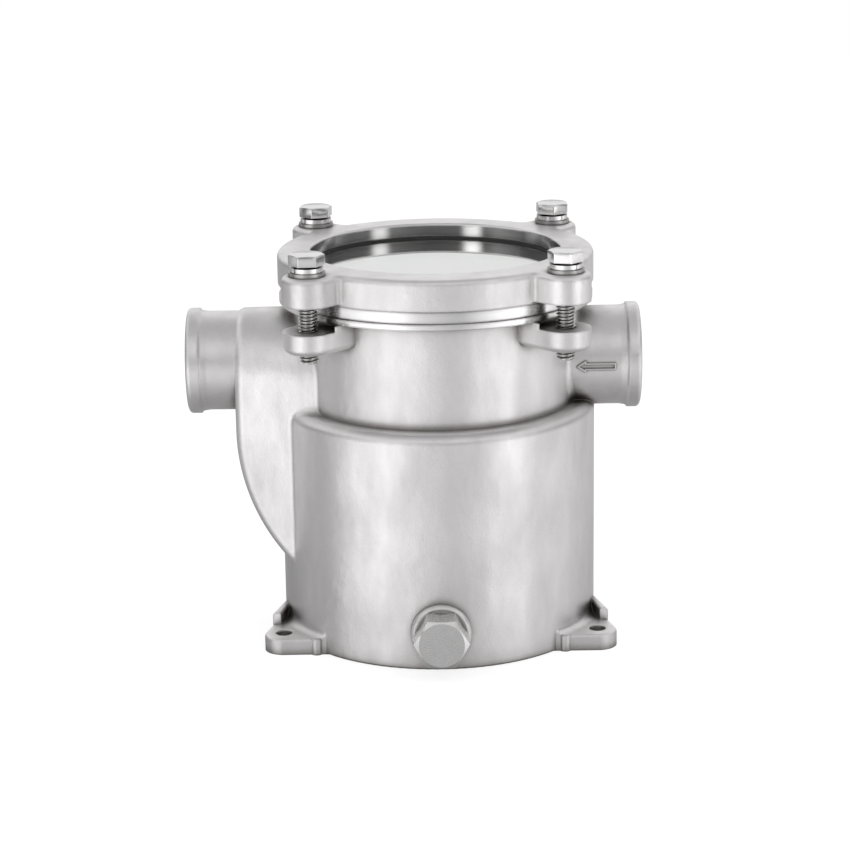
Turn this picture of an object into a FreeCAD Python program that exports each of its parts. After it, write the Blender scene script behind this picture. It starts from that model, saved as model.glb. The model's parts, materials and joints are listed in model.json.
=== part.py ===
import FreeCAD, Part
import Sketcher
import math
import os

# Sea water strainer, in millimetres. Z is up, and the origin is the middle of the underside.
# The ports lie along X: the inlet on the right, the outlet and its side channel on the left.
# The drain plug faces the front, towards -Y.

SIZES = [
    ("cup_radius", 67.5, "outside of the lower cup"),
    ("cup_wall", 4.0, "wall of the cup and of the side channel"),
    ("cup_floor", 6.0, "thickness of the cup's floor"),
    ("cup_base_round", 1.2, "round at the bottom edge of the cup"),
    ("shoulder_height", 101.0, "top of the cup's shoulder"),
    ("shoulder_round", 4.5, "round at the edge of the shoulder"),
    ("shelf_thickness", 4.0, "inner shelf that carries the basket"),
    ("shelf_opening", 47.0, "radius of the hole in the shelf"),
    ("neck_radius", 58.5, "outside of the upper chamber"),
    ("neck_bore", 53.5, "inside of the upper chamber"),
    ("flange_height", 152.2, "top face of the flange"),
    ("flange_radius", 65.6, "turned edge of the flange"),
    ("flange_band", 5.2, "height of the turned edge"),
    ("lip_radius", 66.6, "cast lip under the turned edge"),
    ("lip_depth", 2.6, "height of the cast lip"),
    ("groove_radius", 57.6, "middle of the seal groove"),
    ("groove_width", 4.0, "width of the seal groove"),
    ("groove_depth", 2.4, "depth of the seal groove"),
    ("seal_width", 3.6, "width of the pressed seal ring"),
    ("seal_gap", 0.3, "gap between the flange and the sight disc"),
    ("port_height", 117.5, "axis of both ports above the base"),
    ("port_radius", 21.2, "outside of the port pipes"),
    ("port_root_round", 3.0, "fillet where the inlet meets the upper chamber"),
    ("port_thread_radius", 15.15, "tapped wall of the ports"),
    ("port_thread_length", 20.0, "tapped length of the ports"),
    ("port_passage", 14.0, "radius of the passage behind the thread"),
    ("bead_radius", 22.6, "bead at the end of a port"),
    ("bead_length", 5.2, "full-size length of the bead"),
    ("bead_step", 0.9, "steep slope behind the bead"),
    ("bead_foot", 2.6, "gentle slope from the pipe to that step"),
    ("bead_foot_rise", 0.45, "rise of the gentle slope"),
    ("bead_round", 1.8, "round at the outer edge of the bead"),
    ("inlet_reach", 86.4, "end of the inlet from the middle"),
    ("outlet_reach", 106.0, "end of the outlet from the middle"),
    ("channel_reach", 85.5, "outer face of the side channel from the middle"),
    ("channel_half_width", 23.2, "half of the channel's width at its outer face"),
    ("channel_taper", 11.3, "lean of each side of the channel, in degrees"),
    ("channel_arch_rise", 25.5, "arched top of the channel over its straight sides"),
    ("channel_sweep", 83.0, "radius of the channel's lower curve"),
    ("channel_bend_height", 91.0, "where the channel's straight side ends"),
    ("channel_arch_drop", 3.0, "foot of that arch below the port axis"),
    ("channel_edge_round", 4.5, "round along the outer edges of the channel"),
    ("channel_root_round", 3.0, "fillet where the channel meets the cup and the upper chamber"),
    ("bolt_circle", 74.0, "radius of the circle of lid screws"),
    ("lug_radius", 10.5, "end of a lug about its screw"),
    ("lug_thickness", 11.2, "height of a lug as cast"),
    ("lug_edge_round", 3.0, "round at the lower edge of a lug"),
    ("spot_radius", 11.6, "spot face on a lug"),
    ("spot_depth", 2.3, "depth of the spot face"),
    ("screw_radius", 3.98, "shank of a lid screw"),
    ("screw_length", 40.0, "length of a lid screw under its head"),
    ("screw_tip", 0.8, "chamfer at the end of a screw"),
    ("screw_fit", 0.07, "clearance between a screw and its lug"),
    ("head_flats", 13.0, "lid screw head across its flats"),
    ("head_height", 5.3, "height of a lid screw head"),
    ("head_chamfer", 0.35, "face of a lid screw head inside its flats"),
    ("lobe_hole_fit", 0.5, "clearance between a screw and its lobe"),
    ("flat_washer_radius", 7.6, "outside of a flat washer"),
    ("flat_washer_thickness", 1.6, "thickness of a flat washer"),
    ("spring_washer_radius", 6.8, "outside of a spring washer"),
    ("spring_washer_thickness", 2.0, "thickness of a spring washer"),
    ("spring_washer_split", 0.9, "gap in a spring washer"),
    ("spring_washer_lean", 25.0, "lean of that gap, in degrees"),
    ("washer_fit", 0.2, "clearance between a screw and its washers"),
    ("turn_front_left", 34.0, "how far the front left screw is turned"),
    ("turn_front_right", 17.0, "how far the front right screw is turned"),
    ("turn_back_right", 5.0, "how far the back right screw is turned"),
    ("turn_back_left", 48.0, "how far the back left screw is turned"),
    ("ring_radius", 67.0, "outside of the cover ring"),
    ("ring_thickness", 13.0, "thickness of the cover ring"),
    ("ring_bore", 53.0, "bore of the cover ring"),
    ("ring_edge_round", 2.4, "round at the cover's upper edge"),
    ("ring_bore_chamfer", 0.6, "chamfer at the bore's upper edge"),
    ("lobe_radius", 10.5, "end of a lobe about its screw"),
    ("lobe_relief", 1.0, "underside of a lobe above the underside of the ring"),
    ("lobe_root_round", 2.0, "fillet where a lobe meets the ring"),
    ("disc_thickness", 6.0, "thickness of the sight disc"),
    ("disc_radius", 61.2, "outside of the sight disc"),
    ("disc_fit", 0.3, "clearance round the sight disc"),
    ("gasket_thickness", 0.7, "thickness of the gasket over the disc"),
    ("gasket_show", 0.6, "gasket inside the bore of the ring"),
    ("foot_circle", 77.0, "radius of the circle of foot holes"),
    ("foot_angle", 30.0, "front feet in front of the port axis"),
    ("foot_hole", 3.5, "radius of a foot hole"),
    ("foot_radius", 8.2, "end of a foot about its hole"),
    ("foot_thickness", 7.0, "thickness of a foot"),
    ("foot_fillet", 3.5, "fillet where a foot meets the cup"),
    ("foot_edge_round", 1.4, "round at the upper edge of a foot"),
    ("web_height", 12.0, "top of the web along the back edge of a front foot"),
    ("web_start", 10.0, "start of the web from the eye of the foot, along that edge"),
    ("web_thickness", 3.6, "thickness of the web"),
    ("web_edge_round", 1.4, "round at the upper edges of the web"),
    ("bulge_radius", 2.4, "upright bulge on the front side of a front foot"),
    ("bulge_across", 52.6, "bulge from the middle, along the port axis"),
    ("foot_root_inset", 5.0, "depth inside the cup's wall at which the sides of a foot aim"),
    ("drain_height", 16.8, "axis of the drain above the base"),
    ("drain_boss_radius", 12.5, "outside of the drain boss"),
    ("drain_boss_reach", 3.5, "drain boss in front of the cup"),
    ("drain_boss_round", 2.0, "round at the edge of the drain boss"),
    ("plug_radius", 7.95, "thread of the drain plug"),
    ("plug_length", 9.0, "length of the plug under its head"),
    ("plug_fit", 0.05, "clearance between the plug and its hole"),
    ("plug_flats", 20.0, "drain plug head across its flats"),
    ("plug_head_height", 11.0, "height of the drain plug head"),
    ("plug_head_chamfer", 0.6, "face of the drain plug head inside its flats"),
    ("plug_washer_radius", 10.6, "outside of the plug's washer"),
    ("plug_washer_thickness", 1.6, "thickness of the plug's washer"),
    ("plug_washer_fit", 0.15, "clearance between the plug and its washer"),
    ("arrow_start", 58.6, "tip of the flow arrow from the middle"),
    ("arrow_length", 16.8, "length of the flow arrow"),
    ("arrow_head_length", 4.2, "length of the arrow's head"),
    ("arrow_head_half", 2.7, "half the width of the arrow's head"),
    ("arrow_shaft_half", 1.5, "half the width of the arrow's shaft"),
    ("arrow_line", 0.65, "width of the raised line that draws the arrow"),
    ("arrow_relief", 0.8, "how far the arrow stands out of the pipe"),
    ("basket_radius", 45.5, "outside of the basket"),
    ("basket_sheet", 0.8, "thickness of the basket's sheet"),
    ("basket_floor_gap", 6.0, "underside of the basket above the cup's floor"),
    ("basket_rim_overhang", 5.4, "rim of the basket beyond the shelf opening"),
    ("basket_rim_thickness", 1.6, "thickness of the basket's rim"),
    ("slot_width", 2.6, "width of a slot in the basket"),
    ("slot_height", 15.0, "height of a slot in the basket"),
    ("slot_rows", 4.0, "rows of slots"),
    ("slot_columns", 20.0, "slots in a row"),
    ("floor_hole", 2.5, "radius of a hole in the basket's floor"),
    ("floor_hole_step", 12.0, "step between the circles of floor holes"),
    ("floor_circles", 3.0, "circles of floor holes"),
    ("floor_first_circle", 6.0, "holes in the innermost circle, and more in each next one"),
    ("handle_wire", 1.8, "radius of the handle's wire"),
    ("handle_half_span", 48.0, "half the width of the handle"),
    ("handle_rise", 26.0, "height of the handle over the rim"),
]

X_AXIS = FreeCAD.Vector(1, 0, 0)
Y_AXIS = FreeCAD.Vector(0, 1, 0)
Z_AXIS = FreeCAD.Vector(0, 0, 1)

doc = FreeCAD.newDocument("sea_water_strainer")
sheet = doc.addObject("Spreadsheet::Sheet", "sizes")
for row, (alias, value, note) in enumerate(SIZES, start=1):
    sheet.set("A%d" % row, note)
    sheet.set("B%d" % row, str(value))
    sheet.setAlias("B%d" % row, alias)
doc.recompute()

# Heights that several pieces share, as formulas of the sheet.
SHELF_UNDERSIDE = "(sizes.shoulder_height - sizes.shelf_thickness)"
LIP_TOP = "(sizes.flange_height - sizes.flange_band)"
LIP_UNDERSIDE = "(sizes.flange_height - sizes.flange_band - sizes.lip_depth)"
DISC_UNDERSIDE = "(sizes.flange_height + sizes.seal_gap)"
RECESS_DEPTH = "(sizes.seal_gap + sizes.disc_thickness + sizes.gasket_thickness)"
COVER_TOP = "(sizes.flange_height + sizes.ring_thickness)"
BOSS_FACE = "(sizes.cup_radius + sizes.drain_boss_reach)"
BASKET_UNDERSIDE = "(sizes.cup_floor + sizes.basket_floor_gap)"


def size(alias):
    """The value of one named size."""
    return float(sheet.get(alias))


def number(formula):
    """The value of a formula of the sheet."""
    return float(sheet.evalExpression(formula))


def bind(item, sizes):
    """Tie an object's properties to formulas of the sheet."""
    for name, formula in sizes.items():
        item.setExpression(name, formula)


def place(item, at=("0", "0", "0"), axis=Z_AXIS, angle=0.0):
    """Turn an object, then tie its place to formulas of the sheet."""
    item.Placement = FreeCAD.Placement(FreeCAD.Vector(), FreeCAD.Rotation(axis, angle))
    for letter, formula in zip("xyz", at):
        item.setExpression("Placement.Base." + letter, formula)


def swing(item, angle):
    """Turn an object about Z by a formula in degrees."""
    item.setExpression("Placement.Rotation.Angle", angle)


def polar(radius, angle, height):
    """A place on a circle about Z, as three formulas."""
    return ("%s * cos((%s) * 1 deg)" % (radius, angle), "%s * sin((%s) * 1 deg)" % (radius, angle), height)


def box(name, low, length, axis=Z_AXIS, angle=0.0):
    """A box from its low corner and its lengths along X, Y and Z before it is turned."""
    item = doc.addObject("Part::Box", name)
    bind(item, dict(zip(("Length", "Width", "Height"), length)))
    place(item, low, axis, angle)
    return item


def rod(name, radius, height, at=("0", "0", "0"), axis=Z_AXIS, angle=0.0):
    """A cylinder, which stands along Z before it is turned."""
    item = doc.addObject("Part::Cylinder", name)
    bind(item, {"Radius": radius, "Height": height})
    place(item, at, axis, angle)
    return item


def cone(name, low_radius, high_radius, height, at=("0", "0", "0"), axis=Z_AXIS, angle=0.0):
    """A cone, which stands along Z before it is turned."""
    item = doc.addObject("Part::Cone", name)
    bind(item, {"Radius1": low_radius, "Radius2": high_radius, "Height": height})
    place(item, at, axis, angle)
    return item


def join(name, pieces):
    """One solid of several."""
    item = doc.addObject("Part::MultiFuse", name)
    item.Shapes = pieces
    item.Refine = True
    return item


def overlap(name, pieces):
    """What several solids share."""
    item = doc.addObject("Part::MultiCommon", name)
    item.Shapes = pieces
    item.Refine = True
    return item


def cut(name, base, tool):
    """A solid less another."""
    item = doc.addObject("Part::Cut", name)
    item.Base = base
    item.Tool = tool
    item.Refine = True
    return item


def chosen_edges(shape, wanted):
    """Numbers of the edges for which the test holds at both ends and the middle."""
    found = []
    for index, edge in enumerate(shape.Edges, start=1):
        first, last = edge.ParameterRange
        points = [edge.valueAt(first + (last - first) * share) for share in (0.02, 0.5, 0.98)]
        if all(wanted(point) for point in points):
            found.append(index)
    return found


def rounded(name, base, alias, wanted, kind="Part::Fillet"):
    """Round or chamfer the edges of a solid that pass a test."""
    doc.recompute()
    item = doc.addObject(kind, name)
    item.Base = base
    radius = size(alias)
    item.Edges = [(index, radius, radius) for index in chosen_edges(base.Shape, wanted)]
    return item


def near(value, target):
    """Whether two lengths are the same within a hundredth."""
    return abs(value - target) < 0.01


def radius_of(point):
    """Distance from the Z axis."""
    return math.hypot(point.x, point.y)


def bind_corners(sketch, corners):
    """Close a polygon whose corners are pairs of formulas."""
    spots = [FreeCAD.Vector(number(across), number(up), 0) for across, up in corners]
    count = len(spots)
    for index in range(count):
        sketch.addGeometry(Part.LineSegment(spots[index], spots[(index + 1) % count]), False)
    for index in range(count):
        following = (index + 1) % count
        sketch.addConstraint(Sketcher.Constraint("Coincident", index, 2, following, 1))
    for index, (across, up) in enumerate(corners):
        for kind, formula, length in (("DistanceX", across, spots[index].x),
                                      ("DistanceY", up, spots[index].y)):
            added = sketch.addConstraint(Sketcher.Constraint(kind, -1, 1, index, 1, length))
            sketch.setExpression("Constraints[%d]" % added, formula)


def bind_circle(sketch, centre, radius):
    """A circle whose centre and radius are formulas."""
    spot = FreeCAD.Vector(number(centre[0]), number(centre[1]), 0)
    circle = sketch.addGeometry(Part.Circle(spot, FreeCAD.Vector(0, 0, 1), number(radius)), False)
    for kind, formula, length in (("DistanceX", centre[0], spot.x), ("DistanceY", centre[1], spot.y)):
        added = sketch.addConstraint(Sketcher.Constraint(kind, -1, 1, circle, 3, length))
        sketch.setExpression("Constraints[%d]" % added, formula)
    added = sketch.addConstraint(Sketcher.Constraint("Radius", circle, number(radius)))
    sketch.setExpression("Constraints[%d]" % added, radius)


def free_sketch(name, upright):
    """A sketch on the XZ plane when upright, and on the XY plane when not."""
    sketch = doc.addObject("Sketcher::SketchObject", name)
    if upright:
        sketch.Placement = FreeCAD.Placement(FreeCAD.Vector(), FreeCAD.Rotation(X_AXIS, 90))
    return sketch


def turned(name, corners):
    """A solid of revolution about Z, from its section in the XZ plane."""
    sketch = free_sketch(name + "_section", True)
    bind_corners(sketch, corners)
    item = doc.addObject("Part::Revolution", name)
    item.Source = sketch
    item.Axis = Z_AXIS
    item.Angle = 360
    item.Solid = True
    return item


def plane_of(body, role):
    """The origin plane of a body, by its role."""
    return [part for part in body.Origin.OriginFeatures if part.Role == role][0]


def body_sketch(body, name, role):
    """A sketch on an origin plane of a body."""
    sketch = body.newObject("Sketcher::SketchObject", name)
    sketch.AttachmentSupport = [(plane_of(body, role), "")]
    sketch.MapMode = "FlatFace"
    return sketch


def turned_body(name, corners):
    """A body with one revolved section."""
    body = doc.addObject("PartDesign::Body", name)
    sketch = body_sketch(body, name + "_section", "XZ_Plane")
    bind_corners(sketch, corners)
    feature = body.newObject("PartDesign::Revolution", name + "_turned")
    feature.Profile = sketch
    feature.ReferenceAxis = (sketch, ["V_Axis"])
    feature.Angle = 360
    return body


def ring_section(inner, outer, low, high):
    """The four corners of a flat ring's section."""
    return [(inner, low), (outer, low), (outer, high), (inner, high)]


def hex_head(name, flats, height, chamfer):
    """A hexagon head on the XY plane, chamfered at 30 degrees round its top."""
    blank = doc.addObject("Part::Prism", name + "_blank")
    blank.Polygon = 6
    bind(blank, {"Circumradius": flats + " / 2 / cos(30 deg)", "Height": height})
    face_radius = "(%s / 2 - %s)" % (flats, chamfer)
    crown = cone(name + "_crown", "%s + %s * tan(60 deg)" % (face_radius, height), face_radius, height)
    return overlap(name, [blank, crown])


# The casting's round form, as one turned solid before anything is hollowed.
round_form = turned("round_form", [
    ("0", "0"),
    ("sizes.cup_radius", "0"),
    ("sizes.cup_radius", "sizes.shoulder_height"),
    ("sizes.neck_radius", "sizes.shoulder_height"),
    ("sizes.neck_radius", LIP_UNDERSIDE),
    ("0", LIP_UNDERSIDE),
])
round_form = rounded("round_form_base", round_form, "cup_base_round",
                     lambda point: near(point.z, 0) and near(radius_of(point), size("cup_radius")))
round_form = rounded("round_form_shoulder", round_form, "shoulder_round",
                     lambda point: near(point.z, size("shoulder_height"))
                     and near(radius_of(point), size("cup_radius")))


def prism(name, corners, height, facing=False):
    """A prism from the corners of its outline: upright, or out to the front when it is facing."""
    sketch = free_sketch(name + "_outline", facing)
    bind_corners(sketch, corners)
    item = doc.addObject("Part::Extrusion", name)
    item.Base = sketch
    item.DirMode = "Normal"
    item.Solid = True
    bind(item, {"LengthFwd": height})
    return item


def half_ellipse(across, half, foot, rise):
    """The upper half of an ellipse as a closed wire, in a plane of constant X."""
    left = FreeCAD.Vector(across, -half, foot)
    right = FreeCAD.Vector(across, half, foot)
    top = FreeCAD.Vector(across, 0, foot + rise)
    if half > rise:
        ellipse = Part.Ellipse(right, top, FreeCAD.Vector(across, 0, foot))
    else:
        ellipse = Part.Ellipse(top, right, FreeCAD.Vector(across, 0, foot))
    ends = sorted((ellipse.parameter(left), ellipse.parameter(right)))
    middle = ellipse.value((ends[0] + ends[1]) / 2)
    if middle.z < foot:
        ends = [ends[1], ends[0] + 2 * math.pi]
    arc = Part.ArcOfEllipse(ellipse, ends[0], ends[1]).toShape()
    return Part.Wire([arc, Part.makeLine(arc.valueAt(arc.LastParameter), arc.valueAt(arc.FirstParameter))])


def channel_half(inset, reach):
    """Half the width of the channel at a distance from the middle, less an inset of its sides."""
    return "(sizes.channel_half_width + (sizes.channel_reach - %s) * tan(sizes.channel_taper * 1 deg)" \
           " - %s / cos(sizes.channel_taper * 1 deg))" % (reach, inset)


def channel_form(name, inset):
    """The side channel as a solid, smaller all round by an inset. Its sides lean outwards towards
    the cup, and its top is an arch that stays as high."""
    reach = "(sizes.channel_reach - %s)" % inset
    outer_half = channel_half(inset, reach)
    root_half = channel_half(inset, "0")
    sweep = "(sizes.channel_sweep - %s)" % inset
    arch_height = "(sizes.port_height - sizes.channel_arch_drop)"
    side = box(name + "_side", ("-" + reach, "-" + root_half, "sizes.channel_bend_height"),
               (reach, "2 * " + root_half, "sizes.flange_height - sizes.channel_bend_height"))
    curve = rod(name + "_curve", sweep, "2 * " + root_half,
                ("%s - %s" % (sweep, reach), root_half, "sizes.channel_bend_height"), X_AXIS, 90)
    below = box(name + "_below", ("-" + reach, "-" + root_half, "0"),
                (reach, "2 * " + root_half, "sizes.channel_bend_height"))
    lower = overlap(name + "_lower", [curve, below])
    profile = join(name + "_profile", [side, lower])
    wall = prism(name + "_wall", [("-" + reach, "-" + outer_half), ("0", "-" + root_half),
                                  ("0", root_half), ("-" + reach, outer_half)], arch_height)
    foot_level = number(arch_height)
    rise = number("sizes.channel_arch_rise - " + inset)
    arch = doc.addObject("Part::Feature", name + "_arch")
    arch.Shape = Part.makeLoft([half_ellipse(-number(reach), number(outer_half), foot_level, rise),
                                half_ellipse(0, number(root_half), foot_level, rise)], True, True)
    hood = join(name + "_hood", [wall, arch])
    return overlap(name, [profile, hood])


def on_channel_rim(point):
    """Whether a point is on the outer edges of the side channel."""
    half = number(channel_half("0", str(-point.x)))
    arch_height = size("port_height") - size("channel_arch_drop")
    if point.z > arch_height:
        rise = (point.z - arch_height) / size("channel_arch_rise")
        on_side = near(math.hypot(point.y / half, rise), 1)
    else:
        on_side = near(abs(point.y), half)
    if point.z > size("channel_bend_height"):
        outermost = near(point.x, -size("channel_reach"))
    else:
        across = point.x + size("channel_reach") - size("channel_sweep")
        down = point.z - size("channel_bend_height")
        outermost = near(math.hypot(across, down), size("channel_sweep")) and point.x < -1
    return on_side and outermost


channel_outside = rounded("channel_outside", channel_form("channel_blank", "0"),
                          "channel_edge_round", on_channel_rim)


def on_channel_root(point):
    """Whether a point is where the side channel meets the cup, its shoulder or the upper chamber."""
    across = abs(point.y) < number(channel_half("0", str(-point.x))) + 0.01
    beside = size("neck_radius") - 0.01 < radius_of(point) < size("cup_radius") + 0.01
    return point.x < 0 and across and beside and point.z > 2 * size("cup_base_round")


# The channel is filleted to the round form before the other pieces join it.
channel_root = rounded("channel_root", join("channel_root_sharp", [round_form, channel_outside]),
                       "channel_root_round", on_channel_root)


def port(name, side, reach):
    """A port pipe with its end bead, out to +X when side is 1 and to -X when it is -1."""
    turn = 90 * side
    sign = "" if side > 0 else "-"
    pipe = rod(name + "_pipe", "sizes.port_radius", reach, ("0", "0", "sizes.port_height"), Y_AXIS, turn)
    step = cone(name + "_step", "sizes.port_radius + sizes.bead_foot_rise", "sizes.bead_radius",
                "sizes.bead_step",
                (sign + "(%s - sizes.bead_length - sizes.bead_step)" % reach, "0", "sizes.port_height"),
                Y_AXIS, turn)
    slope = cone(name + "_slope", "sizes.port_radius", "sizes.port_radius + sizes.bead_foot_rise",
                 "sizes.bead_foot",
                 (sign + "(%s - sizes.bead_length - sizes.bead_step - sizes.bead_foot)" % reach,
                  "0", "sizes.port_height"), Y_AXIS, turn)
    bead = rod(name + "_bead", "sizes.bead_radius", "sizes.bead_length",
               (sign + "(%s - sizes.bead_length)" % reach, "0", "sizes.port_height"), Y_AXIS, turn)
    bead = rounded(name + "_bead_round", bead, "bead_round",
                   lambda point: near(abs(point.x), number(reach)))
    return pipe, [slope, step, bead]


inlet_pipe, inlet_bead = port("inlet", 1, "sizes.inlet_reach")
outlet_pipe, outlet_bead = port("outlet", -1, "sizes.outlet_reach")


def lug(name, angle):
    """A screw lug on the upper chamber, at an angle about Z."""
    low = LIP_UNDERSIDE + " - sizes.lug_thickness"
    arm = box(name + "_arm", ("sizes.neck_bore", "-sizes.lug_radius", low),
              ("sizes.bolt_circle - sizes.neck_bore", "2 * sizes.lug_radius", "sizes.lug_thickness"))
    end = rod(name + "_end", "sizes.lug_radius", "sizes.lug_thickness", ("sizes.bolt_circle", "0", low))
    blank = join(name + "_blank", [arm, end])
    base = number(low)
    item = rounded(name, blank, "lug_edge_round",
                   lambda point: near(point.z, base) and point.x > size("neck_bore") + 0.1)
    swing(item, angle)
    return item


# The straight sides of a foot touch its eye and a circle inside the cup.
FOOT_ROOT = "(sizes.cup_radius - sizes.foot_root_inset)"
FOOT_LEAN = "((%s - sizes.foot_radius) / sizes.foot_circle)" % FOOT_ROOT
FOOT_RISE = "sqrt(1 - %s * %s)" % (FOOT_LEAN, FOOT_LEAN)


def beside_foot(side, along, inset):
    """A place on a side of a foot that lies along X: so far from its eye, and inset from the edge."""
    across = "(sizes.foot_radius - %s)" % inset
    return ("sizes.foot_circle + %s * %s - %s * %s" % (across, FOOT_LEAN, along, FOOT_RISE),
            "%s * (%s * %s + %s * %s)" % (side, across, FOOT_RISE, along, FOOT_LEAN))


def foot(name, angle, height):
    """A foot's outline as a tall prism: an eye with two straight sides that aim inside the cup."""
    side_length = "(sizes.foot_circle * %s)" % FOOT_RISE
    plate = prism(name + "_plate", [
        beside_foot("-1", side_length, "0"),
        beside_foot("-1", "0", "0"),
        beside_foot("1", "0", "0"),
        beside_foot("1", side_length, "0"),
    ], height)
    eye = rod(name + "_eye", "sizes.foot_radius", height, ("sizes.foot_circle", "0", "0"))
    item = join(name, [plate, eye])
    swing(item, angle)
    return item


# The feet share one turned form, which gives their height and their fillet to the cup.
foot_disc = rod("foot_disc", "sizes.foot_circle + 2 * sizes.foot_radius", "sizes.foot_thickness")
fillet_blank = rod("fillet_blank", "sizes.cup_radius + sizes.foot_fillet",
                   "sizes.foot_thickness + sizes.foot_fillet")
fillet_groove = doc.addObject("Part::Torus", "fillet_groove")
bind(fillet_groove, {"Radius1": "sizes.cup_radius + sizes.foot_fillet", "Radius2": "sizes.foot_fillet"})
place(fillet_groove, ("0", "0", "sizes.foot_thickness + sizes.foot_fillet"))
foot_section = join("foot_section", [foot_disc, cut("foot_fillet_ring", fillet_blank, fillet_groove)])

front_line = "(sizes.foot_circle * sin(sizes.foot_angle * 1 deg) + sizes.foot_radius)"
front_limit = box("front_limit", ("-2 * sizes.foot_circle", "-" + front_line, "0"),
                  ("4 * sizes.foot_circle", "3 * sizes.foot_circle", "2 * sizes.foot_thickness"))
foot_angles = ["-sizes.foot_angle", "sizes.foot_angle - 180", "90"]
plate_height = "(sizes.foot_thickness + sizes.foot_fillet)"
foot_prisms = join("foot_prisms", [foot("foot_%d" % index, angle, plate_height)
                                   for index, angle in enumerate(foot_angles, start=1)])
feet = overlap("feet_sharp", [foot_prisms, foot_section, front_limit])


def on_foot_edge(point):
    """Whether a point is on the upper outline of a foot, clear of the fillet."""
    return near(point.z, size("foot_thickness")) and not near(
        radius_of(point), size("cup_radius") + size("foot_fillet"))


feet = rounded("feet", feet, "foot_edge_round", on_foot_edge)


def web(name, side, angle):
    """The low wall along the back edge of a front foot, from near its eye into the cup's wall."""
    side_length = "(sizes.foot_circle * %s)" % FOOT_RISE
    blank = prism(name + "_blank", [
        beside_foot(side, "sizes.web_start", "0"),
        beside_foot(side, side_length, "0"),
        beside_foot(side, side_length, "sizes.web_thickness"),
        beside_foot(side, "sizes.web_start", "sizes.web_thickness"),
    ], "sizes.web_height")
    item = rounded(name, blank, "web_edge_round", lambda point: near(point.z, size("web_height")))
    swing(item, angle)
    return item


webs = [web("right_web", "1", foot_angles[0]), web("left_web", "-1", foot_angles[1])]

# A short upright bulge stands on the front side of each front foot, near the cup.
bulges = [rod("bulge_%d" % index, "sizes.bulge_radius", "sizes.foot_thickness",
              (sign + "sizes.bulge_across", "-(%s - sizes.bulge_radius / 2)" % front_line, "0"))
          for index, sign in enumerate(("", "-"), start=1)]

drain_boss = rod("drain_boss", "sizes.drain_boss_radius", BOSS_FACE,
                 ("0", "0", "sizes.drain_height"), X_AXIS, 90)
drain_boss = rounded("drain_boss_round", drain_boss, "drain_boss_round",
                     lambda point: near(point.y, -number(BOSS_FACE)))


def arrow_prism(name, inset):
    """The flow arrow as a prism on the port axis, smaller all round by an inset."""
    tip = "sizes.arrow_start + 2 * %s" % inset
    neck = "sizes.arrow_start + sizes.arrow_head_length - " + inset
    end = "sizes.arrow_start + sizes.arrow_length - " + inset
    head_half = "(sizes.arrow_head_half - 2 * %s)" % inset
    shaft_half = "(sizes.arrow_shaft_half - %s)" % inset
    return prism(name, [
        (tip, "sizes.port_height"),
        (neck, "sizes.port_height - " + head_half),
        (neck, "sizes.port_height - " + shaft_half),
        (end, "sizes.port_height - " + shaft_half),
        (end, "sizes.port_height + " + shaft_half),
        (neck, "sizes.port_height + " + shaft_half),
        (neck, "sizes.port_height + " + head_half),
    ], "2 * sizes.port_radius", True)


# The flow arrow is a raised line on the front of the inlet pipe.
arrow_line = cut("arrow_line", arrow_prism("arrow_outside", "0"),
                 arrow_prism("arrow_inside", "sizes.arrow_line"))
arrow_skin = rod("arrow_skin", "sizes.port_radius + sizes.arrow_relief", "sizes.inlet_reach",
                 ("0", "0", "sizes.port_height"), Y_AXIS, 90)
arrow = overlap("arrow", [arrow_line, arrow_skin])

# The inlet is filleted to the upper chamber in the same way.
inlet_root = join("inlet_root", [channel_root, inlet_pipe])


def on_inlet_root(point):
    """Whether a point is where the inlet pipe meets the upper chamber."""
    on_pipe = near(math.hypot(point.y, point.z - size("port_height")), size("port_radius"))
    return on_pipe and near(radius_of(point), size("neck_radius")) and point.x > 0


inlet_root = rounded("inlet_root_round", inlet_root, "port_root_round", on_inlet_root)

screw_angles = ["-135", "-45", "45", "135"]
lugs = [lug("lug_%d" % index, angle) for index, angle in enumerate(screw_angles, start=1)]
cast_form = join("cast_form", [inlet_root, outlet_pipe, drain_boss, feet]
                 + inlet_bead + outlet_bead + webs + bulges + lugs)

spots = []
screw_holes = []
for index, angle in enumerate(screw_angles, start=1):
    spots.append(rod("spot_%d" % index, "sizes.spot_radius", "sizes.flange_height",
                     polar("sizes.bolt_circle", angle, LIP_UNDERSIDE + " - sizes.spot_depth")))
    screw_holes.append(rod("screw_hole_%d" % index, "sizes.screw_radius + sizes.screw_fit",
                           "sizes.flange_height",
                           polar("sizes.bolt_circle", angle, "sizes.shoulder_height")))
spotted = cut("spotted", cast_form, join("spot_faces", spots))

flange = turned("flange", [
    ("0", LIP_UNDERSIDE),
    ("sizes.lip_radius", LIP_UNDERSIDE),
    ("sizes.lip_radius", LIP_TOP),
    ("sizes.flange_radius", LIP_TOP),
    ("sizes.flange_radius", "sizes.flange_height"),
    ("0", "sizes.flange_height"),
])
outside = join("outside", [spotted, flange, arrow])

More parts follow.
